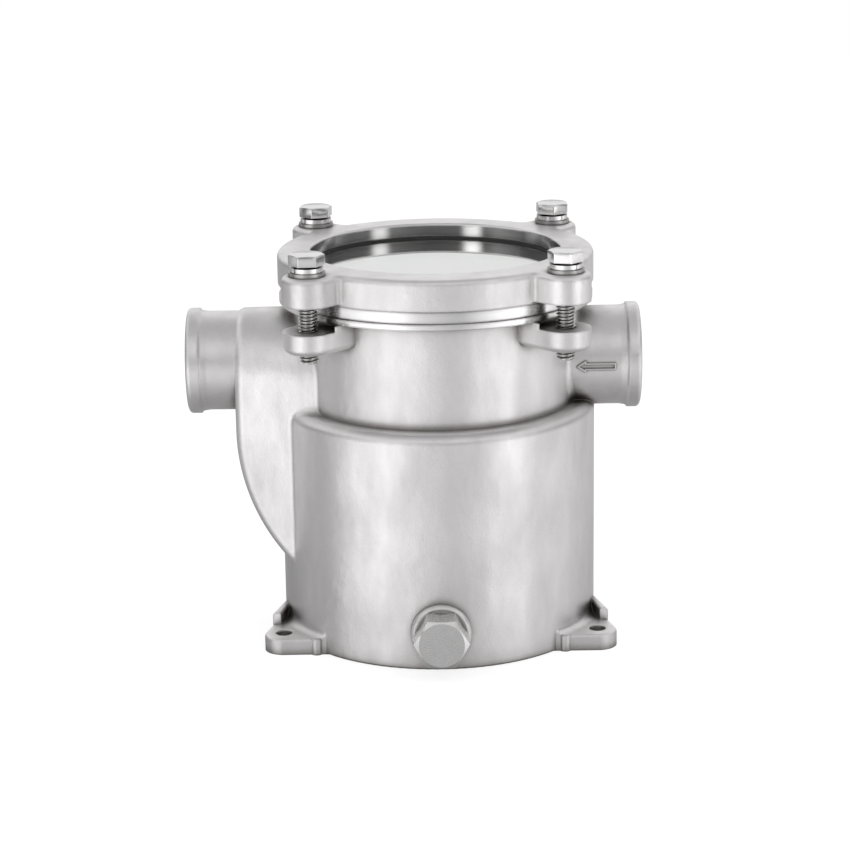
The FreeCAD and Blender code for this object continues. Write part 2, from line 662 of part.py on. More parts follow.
# What is taken out of the casting.
neck_space = rod("neck_space", "sizes.neck_bore", "sizes.flange_height",
                 ("0", "0", "sizes.shoulder_height"))
shelf_space = rod("shelf_space", "sizes.shelf_opening", "sizes.flange_height",
                  ("0", "0", "sizes.cup_floor"))
cup_space = rod("cup_space", "sizes.cup_radius - sizes.cup_wall",
                "%s - sizes.cup_floor" % SHELF_UNDERSIDE, ("0", "0", "sizes.cup_floor"))
neck_keep = rod("neck_keep", "sizes.neck_radius", "sizes.flange_height", ("0", "0", SHELF_UNDERSIDE))
channel_space = cut("channel_space", channel_form("channel_inside", "sizes.cup_wall"), neck_keep)
floor_keep = rod("floor_keep", "sizes.cup_radius", "sizes.cup_floor")
channel_space = cut("channel_passage", channel_space, floor_keep)
groove = cut("groove",
             rod("groove_outer", "sizes.groove_radius + sizes.groove_width / 2", "sizes.flange_height",
                 ("0", "0", "sizes.flange_height - sizes.groove_depth")),
             rod("groove_inner", "sizes.groove_radius - sizes.groove_width / 2",
                 "2 * sizes.flange_height"))


def port_spaces(name, side, reach, passage_end):
    """The tapped mouth of a port and the passage behind it."""
    turn = 90 * side
    sign = "" if side > 0 else "-"
    mouth = rod(name + "_mouth", "sizes.port_thread_radius", "2 * sizes.port_thread_length",
                (sign + "(%s - sizes.port_thread_length)" % reach, "0", "sizes.port_height"),
                Y_AXIS, turn)
    passage = rod(name + "_passage", "sizes.port_passage", "%s - %s" % (reach, passage_end),
                  (sign + "(%s)" % passage_end, "0", "sizes.port_height"), Y_AXIS, turn)
    return [mouth, passage]


spaces = [neck_space, shelf_space, cup_space, channel_space, groove]
spaces += port_spaces("inlet", 1, "sizes.inlet_reach", "(sizes.neck_bore - 2 * sizes.cup_wall)")
spaces += port_spaces("outlet", -1, "sizes.outlet_reach", "(sizes.channel_reach - 2 * sizes.cup_wall)")
spaces.append(rod("drain_hole", "sizes.plug_radius + sizes.plug_fit", "2 * sizes.cup_wall + " + BOSS_FACE
                  + " - sizes.cup_radius",
                  ("0", "-(sizes.cup_radius - 2 * sizes.cup_wall)", "sizes.drain_height"), X_AXIS, 90))
for index, angle in enumerate(foot_angles, start=1):
    spaces.append(rod("foot_hole_%d" % index, "sizes.foot_hole", "3 * sizes.foot_thickness",
                      polar("sizes.foot_circle", angle, "-sizes.foot_thickness")))
hollow = join("hollow", spaces + screw_holes)
body_casting = cut("body_casting", outside, hollow)


# The cover ring: a turned ring with four lobes, modelled flat on its underside.
cover_ring = turned_body("cover_ring", [
    ("sizes.disc_radius + sizes.disc_fit", "0"),
    ("sizes.ring_radius", "0"),
    ("sizes.ring_radius", "sizes.ring_thickness"),
    ("sizes.ring_bore", "sizes.ring_thickness"),
    ("sizes.ring_bore", RECESS_DEPTH),
    ("sizes.disc_radius + sizes.disc_fit", RECESS_DEPTH),
])
lobe_sketch = body_sketch(cover_ring, "lobe_outline", "XY_Plane")
lobe_sketch.setExpression("AttachmentOffset.Base.z", "sizes.lobe_relief")
lobe_root = "(sizes.ring_radius + sizes.disc_radius + sizes.disc_fit) / 2"
bind_corners(lobe_sketch, [
    (lobe_root, "sizes.lobe_radius"),
    (lobe_root, "-sizes.lobe_radius"),
    ("sizes.bolt_circle", "-sizes.lobe_radius"),
    ("sizes.bolt_circle", "sizes.lobe_radius"),
])
lobe = cover_ring.newObject("PartDesign::Pad", "lobe")
lobe.Profile = lobe_sketch
bind(lobe, {"Length": "sizes.ring_thickness - sizes.lobe_relief"})
end_sketch = body_sketch(cover_ring, "lobe_end_outline", "XY_Plane")
end_sketch.setExpression("AttachmentOffset.Base.z", "sizes.lobe_relief")
bind_circle(end_sketch, ("sizes.bolt_circle", "0"), "sizes.lobe_radius")
lobe_end = cover_ring.newObject("PartDesign::Pad", "lobe_end")
lobe_end.Profile = end_sketch
bind(lobe_end, {"Length": "sizes.ring_thickness - sizes.lobe_relief"})
hole_sketch = body_sketch(cover_ring, "lobe_hole_outline", "XY_Plane")
bind_circle(hole_sketch, ("sizes.bolt_circle", "0"), "sizes.screw_radius + sizes.lobe_hole_fit")
doc.recompute()
lobe_hole = cover_ring.newObject("PartDesign::Pocket", "lobe_hole")
lobe_hole.Profile = hole_sketch
lobe_hole.Reversed = True
bind(lobe_hole, {"Length": "2 * sizes.ring_thickness"})
doc.recompute()
lobes = cover_ring.newObject("PartDesign::PolarPattern", "lobes")
lobes.Originals = [lobe, lobe_end, lobe_hole]
lobes.Axis = (lobe_sketch, ["N_Axis"])
lobes.Angle = 360
lobes.Occurrences = len(screw_angles)
cover_ring.Tip = lobes
doc.recompute()


def dress(body, kind, name, base, prop, alias, wanted):
    """A fillet or chamfer on the edges of a body's feature that pass a test."""
    item = body.newObject(kind, name)
    item.Base = (base, ["Edge%d" % index for index in chosen_edges(base.Shape, wanted)])
    item.setExpression(prop, "sizes." + alias)
    body.Tip = item
    doc.recompute()
    return item


def on_lobe_root(point):
    """Whether a point is on the upright line where a lobe meets the ring."""
    beside = near(abs(point.x), size("lobe_radius")) or near(abs(point.y), size("lobe_radius"))
    return beside and near(radius_of(point), size("ring_radius")) and point.z > size("lobe_relief") - 0.01


def on_cover_outline(point):
    """Whether a point is on the upper outline of the cover ring."""
    on_top = near(point.z, size("ring_thickness"))
    hole = size("screw_radius") + size("lobe_hole_fit")
    from_screw = math.hypot(max(abs(point.x), abs(point.y)) - size("bolt_circle"),
                            min(abs(point.x), abs(point.y)))
    return on_top and radius_of(point) > size("ring_bore") + 1 and not near(from_screw, hole)


lobe_roots = dress(cover_ring, "PartDesign::Fillet", "lobe_roots", lobes, "Radius", "lobe_root_round",
                   on_lobe_root)
cover_outline = dress(cover_ring, "PartDesign::Fillet", "cover_outline", lobe_roots, "Radius",
                      "ring_edge_round", on_cover_outline)
dress(cover_ring, "PartDesign::Chamfer", "bore_chamfer", cover_outline, "Size", "ring_bore_chamfer",
      lambda point: near(point.z, size("ring_thickness")) and near(radius_of(point), size("ring_bore")))
place(cover_ring, ("0", "0", "sizes.flange_height"))
swing(cover_ring, screw_angles[2])

# The sight disc and its seals.
disc_top = DISC_UNDERSIDE + " + sizes.disc_thickness"
sight_disc = turned_body("sight_disc", ring_section("0", "sizes.disc_radius", DISC_UNDERSIDE, disc_top))
disc_gasket = turned_body("disc_gasket", ring_section(
    "sizes.ring_bore - sizes.gasket_show", "sizes.disc_radius", disc_top,
    disc_top + " + sizes.gasket_thickness"))
flange_seal = turned_body("flange_seal", ring_section(
    "sizes.groove_radius - sizes.seal_width / 2", "sizes.groove_radius + sizes.seal_width / 2",
    "sizes.flange_height - sizes.groove_depth", DISC_UNDERSIDE))

# The lid screws with their washers, each set modelled upright and then placed.
screw_names = ["front_left", "front_right", "back_right", "back_left"]
lid_screws = []
flat_washers = []
spring_washers = []
for name, angle in zip(screw_names, screw_angles):
    label = "screw_" + name
    head = hex_head(label + "_head", "sizes.head_flats", "sizes.head_height", "sizes.head_chamfer")
    shank = rod(label + "_shank", "sizes.screw_radius", "sizes.screw_length - sizes.screw_tip",
                ("0", "0", "sizes.screw_tip - sizes.screw_length"))
    tip = cone(label + "_tip", "sizes.screw_radius - sizes.screw_tip", "sizes.screw_radius",
               "sizes.screw_tip", ("0", "0", "-sizes.screw_length"))
    screw = join("lid_" + label, [head, shank, tip])
    washer_top = COVER_TOP + " + sizes.flat_washer_thickness"
    place(screw, polar("sizes.bolt_circle", angle, washer_top + " + sizes.spring_washer_thickness"))
    swing(screw, "sizes.turn_" + name)
    lid_screws.append(screw)

    flat = turned_body("flat_washer_" + name, ring_section(
        "sizes.screw_radius + sizes.washer_fit", "sizes.flat_washer_radius", "0",
        "sizes.flat_washer_thickness"))
    place(flat, polar("sizes.bolt_circle", angle, COVER_TOP))
    flat_washers.append(flat)

    coil = cut("spring_ring_" + name,
               rod("spring_outer_" + name, "sizes.spring_washer_radius", "sizes.spring_washer_thickness"),
               rod("spring_inner_" + name, "sizes.screw_radius + sizes.washer_fit",
                   "sizes.spring_washer_thickness"))
    split = box("spring_split_" + name, ("0", "0", "-sizes.spring_washer_thickness"),
                ("2 * sizes.spring_washer_radius", "sizes.spring_washer_split",
                 "4 * sizes.spring_washer_thickness"), X_AXIS, size("spring_washer_lean"))
    spring = cut("spring_washer_" + name, coil, split)
    place(spring, polar("sizes.bolt_circle", angle, washer_top))
    swing(spring, "sizes.turn_" + name)
    spring_washers.append(spring)

# The drain plug and its washer face the front.
plug_seat = BOSS_FACE + " + sizes.plug_washer_thickness"
drain_plug = join("drain_plug", [
    hex_head("plug_head", "sizes.plug_flats", "sizes.plug_head_height", "sizes.plug_head_chamfer"),
    rod("plug_shank", "sizes.plug_radius", "sizes.plug_length", ("0", "0", "-sizes.plug_length")),
])
place(drain_plug, ("0", "-(%s)" % plug_seat, "sizes.drain_height"), X_AXIS, 90)
drain_plug_washer = turned_body("drain_plug_washer", ring_section(
    "sizes.plug_radius + sizes.plug_washer_fit", "sizes.plug_washer_radius", "0",
    "sizes.plug_washer_thickness"))
place(drain_plug_washer, ("0", "-(%s)" % BOSS_FACE, "sizes.drain_height"), X_AXIS, 90)

# The basket: a slotted shell, a drilled floor, a flat rim and a bowed handle.
basket_shell = turned_body("basket_shell", ring_section(
    "sizes.basket_radius - sizes.basket_sheet", "sizes.basket_radius", BASKET_UNDERSIDE,
    "sizes.shoulder_height"))
row_pitch = "((sizes.shoulder_height - %s) / sizes.slot_rows)" % BASKET_UNDERSIDE
slot_low = "%s + (%s - sizes.slot_height) / 2" % (BASKET_UNDERSIDE, row_pitch)
slot_sketch = body_sketch(basket_shell, "slot_outline", "XZ_Plane")
bind_corners(slot_sketch, [
    ("-sizes.slot_width / 2", slot_low),
    ("sizes.slot_width / 2", slot_low),
    ("sizes.slot_width / 2", slot_low + " + sizes.slot_height"),
    ("-sizes.slot_width / 2", slot_low + " + sizes.slot_height"),
])
doc.recompute()
slot = basket_shell.newObject("PartDesign::Pocket", "slot")
slot.Profile = slot_sketch
bind(slot, {"Length": "2 * sizes.basket_radius"})
slots = basket_shell.newObject("PartDesign::MultiTransform", "slots")
slots.Originals = [slot]
slot_row = basket_shell.newObject("PartDesign::PolarPattern", "slot_row")
slot_row.Axis = (slot_sketch, ["V_Axis"])
slot_row.Angle = 360
bind(slot_row, {"Occurrences": "sizes.slot_columns"})
slot_column = basket_shell.newObject("PartDesign::LinearPattern", "slot_column")
slot_column.Direction = (slot_sketch, ["V_Axis"])
bind(slot_column, {"Length": "%s * (sizes.slot_rows - 1)" % row_pitch, "Occurrences": "sizes.slot_rows"})
slots.Transformations = [slot_row, slot_column]
basket_shell.Tip = slots

basket_floor = turned_body("basket_floor", ring_section(
    "0", "sizes.basket_radius", BASKET_UNDERSIDE + " - sizes.basket_sheet", BASKET_UNDERSIDE))
doc.recompute()
for circle in range(1, int(size("floor_circles")) + 1):
    radius = "sizes.floor_hole_step * %d" % circle
    drill_sketch = body_sketch(basket_floor, "floor_hole_%d" % circle, "XY_Plane")
    bind_circle(drill_sketch, (radius, "0"), "sizes.floor_hole")
    drill = basket_floor.newObject("PartDesign::Pocket", "floor_drill_%d" % circle)
    drill.Profile = drill_sketch
    drill.Reversed = True
    bind(drill, {"Length": BASKET_UNDERSIDE + " * 2"})
    doc.recompute()
    drilled = basket_floor.newObject("PartDesign::PolarPattern", "floor_holes_%d" % circle)
    drilled.Originals = [drill]
    drilled.Axis = (drill_sketch, ["N_Axis"])
    drilled.Angle = 360
    drilled.Occurrences = int(size("floor_first_circle")) * circle
    basket_floor.Tip = drilled
    doc.recompute()

basket_rim = turned_body("basket_rim", ring_section(
    "sizes.basket_radius - sizes.basket_sheet", "sizes.shelf_opening + sizes.basket_rim_overhang",
    "sizes.shoulder_height", "sizes.shoulder_height + sizes.basket_rim_thickness"))

rim_top = "(sizes.shoulder_height + sizes.basket_rim_thickness)"
bow_radius = "((sizes.handle_half_span ^ 2 + sizes.handle_rise ^ 2) / (2 * sizes.handle_rise))"
bow = doc.addObject("Part::Torus", "handle_bow")
bind(bow, {"Radius1": bow_radius, "Radius2": "sizes.handle_wire"})
place(bow, ("0", "0", "%s + sizes.handle_rise - %s" % (rim_top, bow_radius)), Y_AXIS, 90)
above_rim = box("above_rim", ("-sizes.neck_bore", "-sizes.neck_bore", rim_top),
                ("2 * sizes.neck_bore", "2 * sizes.neck_bore", "sizes.neck_bore"))
basket_handle = overlap("basket_handle", [bow, above_rim])

nodes = [body_casting, cover_ring, sight_disc, disc_gasket, flange_seal, drain_plug, drain_plug_washer,
         basket_shell, basket_floor, basket_rim, basket_handle]
nodes += lid_screws + flat_washers + spring_washers

doc.recompute()
for item in doc.Objects:
    if "Invalid" in item.State or "Error" in item.State:
        raise RuntimeError("%s did not build: %s" % (item.Label, item.State))
for node in nodes:
    if node.Shape.isNull() or not node.Shape.isValid() or len(node.Shape.Solids) != 1:
        raise RuntimeError("%s is not one valid solid" % node.Label)

os.makedirs("parts", exist_ok=True)
for node in nodes:
    node.Shape.exportStep("parts/%s.step" % node.Label)
    corners = node.Shape.BoundBox
    print("%-28s %9.1f mm3  z %7.2f to %7.2f" % (node.Label, node.Shape.Volume, corners.ZMin, corners.ZMax))
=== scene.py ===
import json
import math

import bmesh
import bpy
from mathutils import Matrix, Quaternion, Vector


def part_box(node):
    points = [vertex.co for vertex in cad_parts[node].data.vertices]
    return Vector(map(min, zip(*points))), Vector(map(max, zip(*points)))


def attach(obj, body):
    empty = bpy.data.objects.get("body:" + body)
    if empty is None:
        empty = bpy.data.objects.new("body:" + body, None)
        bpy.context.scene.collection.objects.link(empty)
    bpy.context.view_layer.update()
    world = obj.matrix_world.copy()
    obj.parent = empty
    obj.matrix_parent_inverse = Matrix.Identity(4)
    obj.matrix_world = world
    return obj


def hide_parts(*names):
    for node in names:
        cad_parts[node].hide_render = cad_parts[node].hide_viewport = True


bl_info = {
    "name": "Sea water strainer looks",
    "version": (1, 0, 0),
    "blender": (4, 5, 0),
    "location": "3D View > Sidebar > Strainer",
    "description": "Gives a cast sea water strainer its finishes, threads, basket sheet and studio",
    "category": "Object",
}

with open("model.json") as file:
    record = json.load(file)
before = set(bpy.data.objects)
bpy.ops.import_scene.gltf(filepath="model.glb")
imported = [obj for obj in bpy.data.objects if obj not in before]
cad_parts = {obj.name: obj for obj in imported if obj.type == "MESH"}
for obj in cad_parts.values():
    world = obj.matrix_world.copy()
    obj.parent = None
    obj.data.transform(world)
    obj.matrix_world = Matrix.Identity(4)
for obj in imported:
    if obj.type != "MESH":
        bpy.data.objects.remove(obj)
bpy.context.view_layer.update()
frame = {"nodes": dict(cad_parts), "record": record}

MM = 0.001
# vertices nearer than this are one vertex
WELD = 1e-6
CORNERS = ("front_left", "front_right", "back_right", "back_left")
# how far each lid screw's head was turned when it was done up, in degrees
HEAD_TURNS = {"front_left": 34.0, "front_right": 17.0, "back_right": 5.0, "back_left": 48.0}
# least and greatest roughness of the turned faces of each casting
BODY_GLOSS = (0.12, 0.26)
RING_GLOSS = (0.08, 0.17)
WHITE = (1.0, 1.0, 1.0, 1.0)
PALE = (0.9, 0.9, 0.9, 1.0)
# three soft lamps, and the point that they aim at
LAMP_PLACES = {"left": (-0.9, -0.9, 1.1), "right": (0.9, -0.8, 1.2), "top": (0.0, 0.3, 1.6)}
LAMP_AIM = (0.0, 0.0, 0.08)
LAMP_SIZE = 0.9

# Light that polished and blasted metal mirrors from below the horizon, by bearing in degrees:
# 0 is the camera's side, positive is to the right, and 1 is white.
FLOOR_LEVELS = (
    (-180, 0.60), (-140, 0.32), (-118, 0.42), (-101, 0.85), (-93, 0.06), (-83, 0.06), (-77, 1.05),
    (-61, 1.28), (-45, 1.54), (-28, 1.56), (-13, 0.92), (4, 0.72), (18, 0.58), (30, 0.92), (45, 1.32),
    (62, 1.70), (70, 1.58), (72, 0.06), (80, 0.06), (83, 1.50), (100, 0.90), (130, 0.64), (180, 0.60),
)
# The same just above the horizon: a dark room in front with two narrow lamps, a pale wall behind.
WALL_LEVELS = (
    (-180, 0.90), (-145, 0.86), (-132, 0.10), (-98, 0.08), (-61, 0.28), (-47, 0.10), (-40, 1.60),
    (-32, 1.60), (-25, 0.10), (7, 0.08), (42, 0.16), (49, 1.20), (57, 1.20), (64, 0.12), (91, 0.11),
    (122, 0.08), (140, 0.86), (180, 0.90),
)


def length(name, text, default, **extra):
    """A size that a user can change, in metres."""
    return bpy.props.FloatProperty(name=name, description=text, default=default, unit="LENGTH",
                                   precision=5, **extra)


def share(name, text, default, **extra):
    """A level or a share that a user can change."""
    return bpy.props.FloatProperty(name=name, description=text, default=default, subtype="FACTOR",
                                   min=0.0, max=4.0, **extra)


def colour(name, text, default):
    """A colour that a user can change."""
    return bpy.props.FloatVectorProperty(name=name, description=text, default=default,
                                         subtype="COLOR", size=3, min=0.0, max=1.0)


class ScrewSizes(bpy.types.PropertyGroup):
    """Sizes of the four lid screws."""
    pitch: length("Pitch", "Rise of the thread in one turn", 1.4 * MM)
    depth: length("Thread depth", "Depth of the thread below its crest", 0.86 * MM)
    radius: length("Thread radius", "Outer radius of the thread", 3.98 * MM)
    flats: length("Head flats", "Width of the head across its flats", 13.0 * MM)
    head_height: length("Head height", "Height of the six-sided head", 5.3 * MM)
    collar: length("Collar", "Height of the round collar under the head", 0.8 * MM)
    edge: length("Edge", "Width of the worn edges of the head", 0.18 * MM)
    tip: length("Tip", "Height of the blunt end below the thread", 0.9 * MM)
    core_gap: length("Core gap", "How far that end is turned below the root of the thread", 0.1 * MM)
    steps: bpy.props.IntProperty(name="Steps", description="Flat steps in one turn of the thread",
                                 default=40, min=12, max=96)
    crown_steps: bpy.props.IntProperty(name="Crown steps", description="Flat steps round the crown",
                                       default=64, min=12, max=96)


class PortSizes(bpy.types.PropertyGroup):
    """Sizes of the pipe threads in the two ports."""
    pitch: length("Pitch", "Rise of the pipe thread in one turn", 2.309 * MM)
    depth: length("Thread depth", "Height of the ridges on the wall of the bore", 0.9 * MM)
    radius: length("Bore radius", "Radius of the tapped hole", 15.15 * MM)
    bite: length("Bite", "How far the thread's sleeve reaches into the wall and out of it", 0.1 * MM)
    run: length("Threaded length", "How deep the thread goes into the port", 18.0 * MM)
    mouth: length("Mouth", "Depth of the plain mouth before the thread", 1.4 * MM)
    steps: bpy.props.IntProperty(name="Steps", description="Flat steps in one turn of the thread",
                                 default=56, min=12, max=96)


class BasketSizes(bpy.types.PropertyGroup):
    """Sizes of the perforated sheet of the basket."""
    holes_round: bpy.props.IntProperty(name="Holes round", description="Holes in one row round the basket",
                                       default=56, min=12, max=90)
    hole: length("Hole radius", "Radius of each hole in the sheet", 1.55 * MM)
    sheet: length("Sheet", "Thickness of the sheet", 0.8 * MM)
    margin: length("Margin", "Plain band at the top and bottom of the sheet", 3.0 * MM)


class Finishes(bpy.types.PropertyGroup):
    """Colours and surface of the finishes."""
    cast: colour("Cast steel", "Colour of the blasted castings", (0.815, 0.799, 0.802))
    cast_roughness: share("Cast roughness", "Roughness of the blasted castings", 0.42)
    # colour of the painted shade in the castings' creases and gaps
    shade_colour: colour("Dirt", "Colour in the creases of the castings", (0.19, 0.175, 0.16))
    turned: colour("Turned steel", "Colour of the turned faces", (0.79, 0.78, 0.785))
    screw: colour("Screw steel", "Colour of the heads and the spring washers", (0.80, 0.79, 0.79))
    plug: colour("Plug steel", "Colour of the drain plug", (0.66, 0.65, 0.65))
    # the flat washers' dark colour is painted shade below the spring washers
    washer: colour("Washer steel", "Colour of the flat washers", (0.40, 0.395, 0.39))
    # darker than the heads: partly the rolled threads' own finish, partly painted shade in the thread
    thread: colour("Thread steel", "Colour of the rolled threads", (0.66, 0.655, 0.645))
    sheet: colour("Sheet steel", "Colour of the basket", (0.68, 0.68, 0.67))
    rubber: colour("Rubber", "Colour of the seals", (0.018, 0.018, 0.019))
    fibre: colour("Fibre", "Colour of the plug's washer", (0.20, 0.195, 0.19))
    grain: length("Grain", "Size of the blasted grain", 0.7 * MM)
    grain_depth: length("Grain depth", "Depth of the blasted grain", 0.07 * MM)
    lumps: length("Lumps", "Size of the soft unevenness of the castings", 6.0 * MM)
    lump_depth: length("Lump depth", "Depth of that unevenness", 0.18 * MM)
    soft_edge: length("Soft edge", "Radius to which blasting softened the castings' edges", 1.2 * MM)
    # reaches of the painted shade beside and in the castings' creases
    shade: length("Shade", "Reach of the soft shade beside the castings' creases", 15.0 * MM)
    crease: length("Crease", "Reach of the dark line in the castings' creases", 4.5 * MM)
    turning: length("Turning", "Size of the pattern that is drawn out into turning lines", 0.9 * MM)
    turning_depth: length("Turning depth", "Depth of those lines", 0.012 * MM)
    scratch: length("Scratch", "Width of the fine scratches on bought steel", 0.5 * MM)
    scratch_depth: length("Scratch depth", "Depth of those scratches", 0.003 * MM)
    waves: length("Waves", "Size of the soft waves of bought steel", 3.0 * MM)
    wave_depth: length("Wave depth", "Depth of those waves", 0.02 * MM)
    rolling: length("Rolling", "Width of the faint lines that rolling left on the sheet", 0.5 * MM)
    rolling_depth: length("Rolling depth", "Depth of those lines", 0.012 * MM)
    # the next three reaches set where painted shade darkens bought steel, the plug and the basket
    gap: length("Gap", "How near faces of bought steel stand where they darken each other", 1.3 * MM)
    plug_gap: length("Plug gap", "The same for the drain plug", 4.0 * MM)
    hollow: length("Hollow", "How near the basket's walls stand where they darken each other", 45.0 * MM)
    clear: colour("Clear disc", "Colour of the clear disc", (0.90, 0.94, 0.93))
    haze: length("Haze", "Size of the soft waves in the clear disc", 22.0 * MM)
    haze_depth: length("Haze depth", "Depth of those waves", 0.02 * MM)
    mirror: colour("Disc mirror", "Colour of what the disc mirrors", (0.9, 0.91, 0.9))
    side_mirror: share("Side mirror", "Share of light that the disc mirrors at a low angle", 0.82)
    face_mirror: share("Face mirror", "Share of light that the disc mirrors seen from above", 0.05)


class TurnedFaces(bpy.types.PropertyGroup):
    """Where the castings were turned bright."""
    lip_foot: length("Lip foot", "Height just under the lip of the body", 144.3 * MM)
    flange_face: length("Flange face", "Height just above the face that carries the cover", 152.4 * MM)
    flange_inside: length("Flange inside", "Radius just inside the upper chamber's wall", 52.0 * MM)
    lip_edge: length("Lip edge", "Radius just outside the lip of the body", 66.8 * MM)
    ring_bore: length("Ring bore", "Radius just outside the bore of the cover ring", 53.2 * MM)
    ring_underside: length("Ring underside", "Height just above the underside of the ring", 152.3 * MM)


class StageSettings(bpy.types.PropertyGroup):
    """The camera, the floor and the lamps."""
    camera_place: bpy.props.FloatVectorProperty(
        name="Camera", description="Where the camera stands", subtype="TRANSLATION", size=3,
        default=(-7.08 * MM, -1062.0 * MM, 381.96 * MM))
    camera_pitch: bpy.props.FloatProperty(
        name="Pitch", description="How far the camera looks down", subtype="ANGLE",
        default=math.radians(15.514))
    camera_bearing: bpy.props.FloatProperty(
        name="Bearing", description="How far the camera looks to the right", subtype="ANGLE",
        default=math.radians(0.091))
    camera_roll: bpy.props.FloatProperty(
        name="Roll", description="How far the camera leans", subtype="ANGLE",
        default=math.radians(-0.858))
    lens: bpy.props.FloatProperty(name="Lens", description="Focal length", unit="CAMERA",
                                  default=108.08, min=10.0, max=300.0)
    floor_size: length("Floor", "Side of the floor", 24.0)
    floor_glow: share("Floor glow", "Share of the floor's white that comes without lamps", 0.72)
    floor_white: share("Floor white", "Strength of that white, where 1 is white", 1.1)
    near_shade: share("Near shade", "Level that metal mirrors from the floor at its foot", 0.66)
    shade_reach: length("Shade reach", "How far from the middle that shade ends", 380.0 * MM)
    ambient: share("Ambient", "Level of the light from all round on dull surfaces", 0.80)
    fill: share("Fill", "Level that metal mirrors from high in front and behind", 0.95)
    overhead: share("Overhead", "Level that metal mirrors from above", 0.48)
    underneath: share("Underneath", "Level that metal mirrors from straight below", 0.42)
    lamp: bpy.props.FloatProperty(name="Lamp", description="Power of each soft lamp", subtype="POWER",
                                  default=6.0, min=0.0)


def sizes(kind):
    """The settings of one group."""
    return getattr(bpy.context.scene, kind)


# Modelling helpers

def take(piece):
    """Makes the piece the only one selected, and the active one."""
    bpy.ops.object.select_all(action="DESELECT")
    piece.select_set(True)
    bpy.context.view_layer.objects.active = piece


def added(name):
    """Names the primitive that was just added and returns it."""
    piece = bpy.context.object
    piece.name = name
    piece.data.name = name
    return piece


def choose(piece, kind, test):
    """In edit mode, selects only the vertices, edges or faces that pass the test."""
    bpy.ops.mesh.select_mode(type=kind)
    bpy.ops.mesh.select_all(action="DESELECT")
    form = bmesh.from_edit_mesh(piece.data)
    for item in {"VERT": form.verts, "EDGE": form.edges, "FACE": form.faces}[kind]:
        if test(item):
            item.select_set(True)
    form.select_flush_mode()
    bmesh.update_edit_mesh(piece.data)


def finish_with(piece, kind, **settings):
    """Adds a modifier with these settings and applies it."""
    take(piece)
    modifier = piece.modifiers.new(kind.title(), kind)
    for key, value in settings.items():
        setattr(modifier, key, value)
    bpy.ops.object.modifier_apply(modifier=modifier.name)


def combine(piece, tool, operation):
    """Joins, cuts or intersects the piece with a tool, which is used up."""
    finish_with(piece, "BOOLEAN", object=tool, operation=operation, solver="EXACT")
    bpy.data.objects.remove(tool)
    if not piece.data.polygons:
        raise RuntimeError(f"nothing is left of {piece.name} after its {operation.lower()}")


def turned_blank(name, outline, steps):
    """A closed turned piece about Z: outline is its radius and height at each corner, from the
    bottom of the axis to its top."""
    bpy.ops.object.select_all(action="DESELECT")
    bpy.ops.mesh.primitive_plane_add(size=1.0 * MM)
    piece = added(name)
    bpy.ops.object.mode_set(mode="EDIT")
    bpy.ops.mesh.select_all(action="SELECT")
    bpy.ops.mesh.merge(type="CENTER")
    here = Vector((0.0, 0.0, 0.0))
    for number, (radius, height) in enumerate(outline):
        step = Vector((radius, 0.0, height)) - here
        if number == 0:
            bpy.ops.transform.translate(value=step)
        else:
            bpy.ops.mesh.extrude_region_move(TRANSFORM_OT_translate={"value": step})
        here += step
    bpy.ops.mesh.select_all(action="SELECT")
    bpy.ops.mesh.spin(steps=steps, angle=math.tau, center=(0, 0, 0), axis=(0, 0, 1))
    bpy.ops.mesh.select_all(action="SELECT")
    bpy.ops.mesh.remove_doubles(threshold=WELD)
    bpy.ops.mesh.normals_make_consistent(inside=False)
    bpy.ops.object.mode_set(mode="OBJECT")
    return piece


def threaded_rod(name, radius, depth, pitch, low, high, steps):
    """A threaded rod about Z from low to high: one turn's profile is screwed upwards, and both ends
    are cut square."""
    # crest, flank, root and flank of one pitch, as a metric thread divides it
    strokes = ((0.0, pitch / 8), (-depth, pitch * 5 / 16), (0.0, pitch / 4), (depth, pitch * 5 / 16))
    # turns past each end, which the square cuts take off
    spare = 2
    bpy.ops.object.select_all(action="DESELECT")
    bpy.ops.mesh.primitive_plane_add(size=1.0 * MM)
    piece = added(name)
    bpy.ops.object.mode_set(mode="EDIT")
    bpy.ops.mesh.select_all(action="SELECT")
    bpy.ops.mesh.merge(type="CENTER")
    bpy.ops.transform.translate(value=(radius, 0.0, low - spare * pitch))
    for out, up in strokes:
        bpy.ops.mesh.extrude_region_move(TRANSFORM_OT_translate={"value": (out, 0.0, up)})
    bpy.ops.object.mode_set(mode="OBJECT")
    turns = math.ceil((high - low) / pitch) + 2 * spare
    finish_with(piece, "SCREW", axis="Z", angle=math.tau, screw_offset=pitch, iterations=turns,
                steps=steps, render_steps=steps)
    bpy.ops.object.mode_set(mode="EDIT")
    bpy.ops.mesh.select_all(action="SELECT")
    bpy.ops.mesh.remove_doubles(threshold=WELD)
    for height, ends in ((low, {"clear_inner": True}), (high, {"clear_outer": True})):
        bpy.ops.mesh.select_all(action="SELECT")
        bpy.ops.mesh.bisect(plane_co=(0, 0, height), plane_no=(0, 0, 1), use_fill=True,
                            threshold=WELD / 10, **ends)
    bpy.ops.mesh.select_all(action="SELECT")
    bpy.ops.mesh.normals_make_consistent(inside=False)
    bpy.ops.object.mode_set(mode="OBJECT")
    return piece


def hexagon(name, flats, low, high):
    """A six-sided prism about Z."""
    bpy.ops.object.select_all(action="DESELECT")
    bpy.ops.mesh.primitive_cylinder_add(vertices=6, radius=flats / 2 / math.cos(math.pi / 6),
                                        depth=high - low, location=(0, 0, (low + high) / 2))
    piece = added(name)
    bpy.ops.object.transform_apply(location=True, rotation=True, scale=True)
    return piece


def smooth_by_angle(piece, degrees):
    """Smooth shading with sharp edges above an angle."""
    take(piece)
    bpy.ops.object.shade_smooth_by_angle(angle=math.radians(degrees))


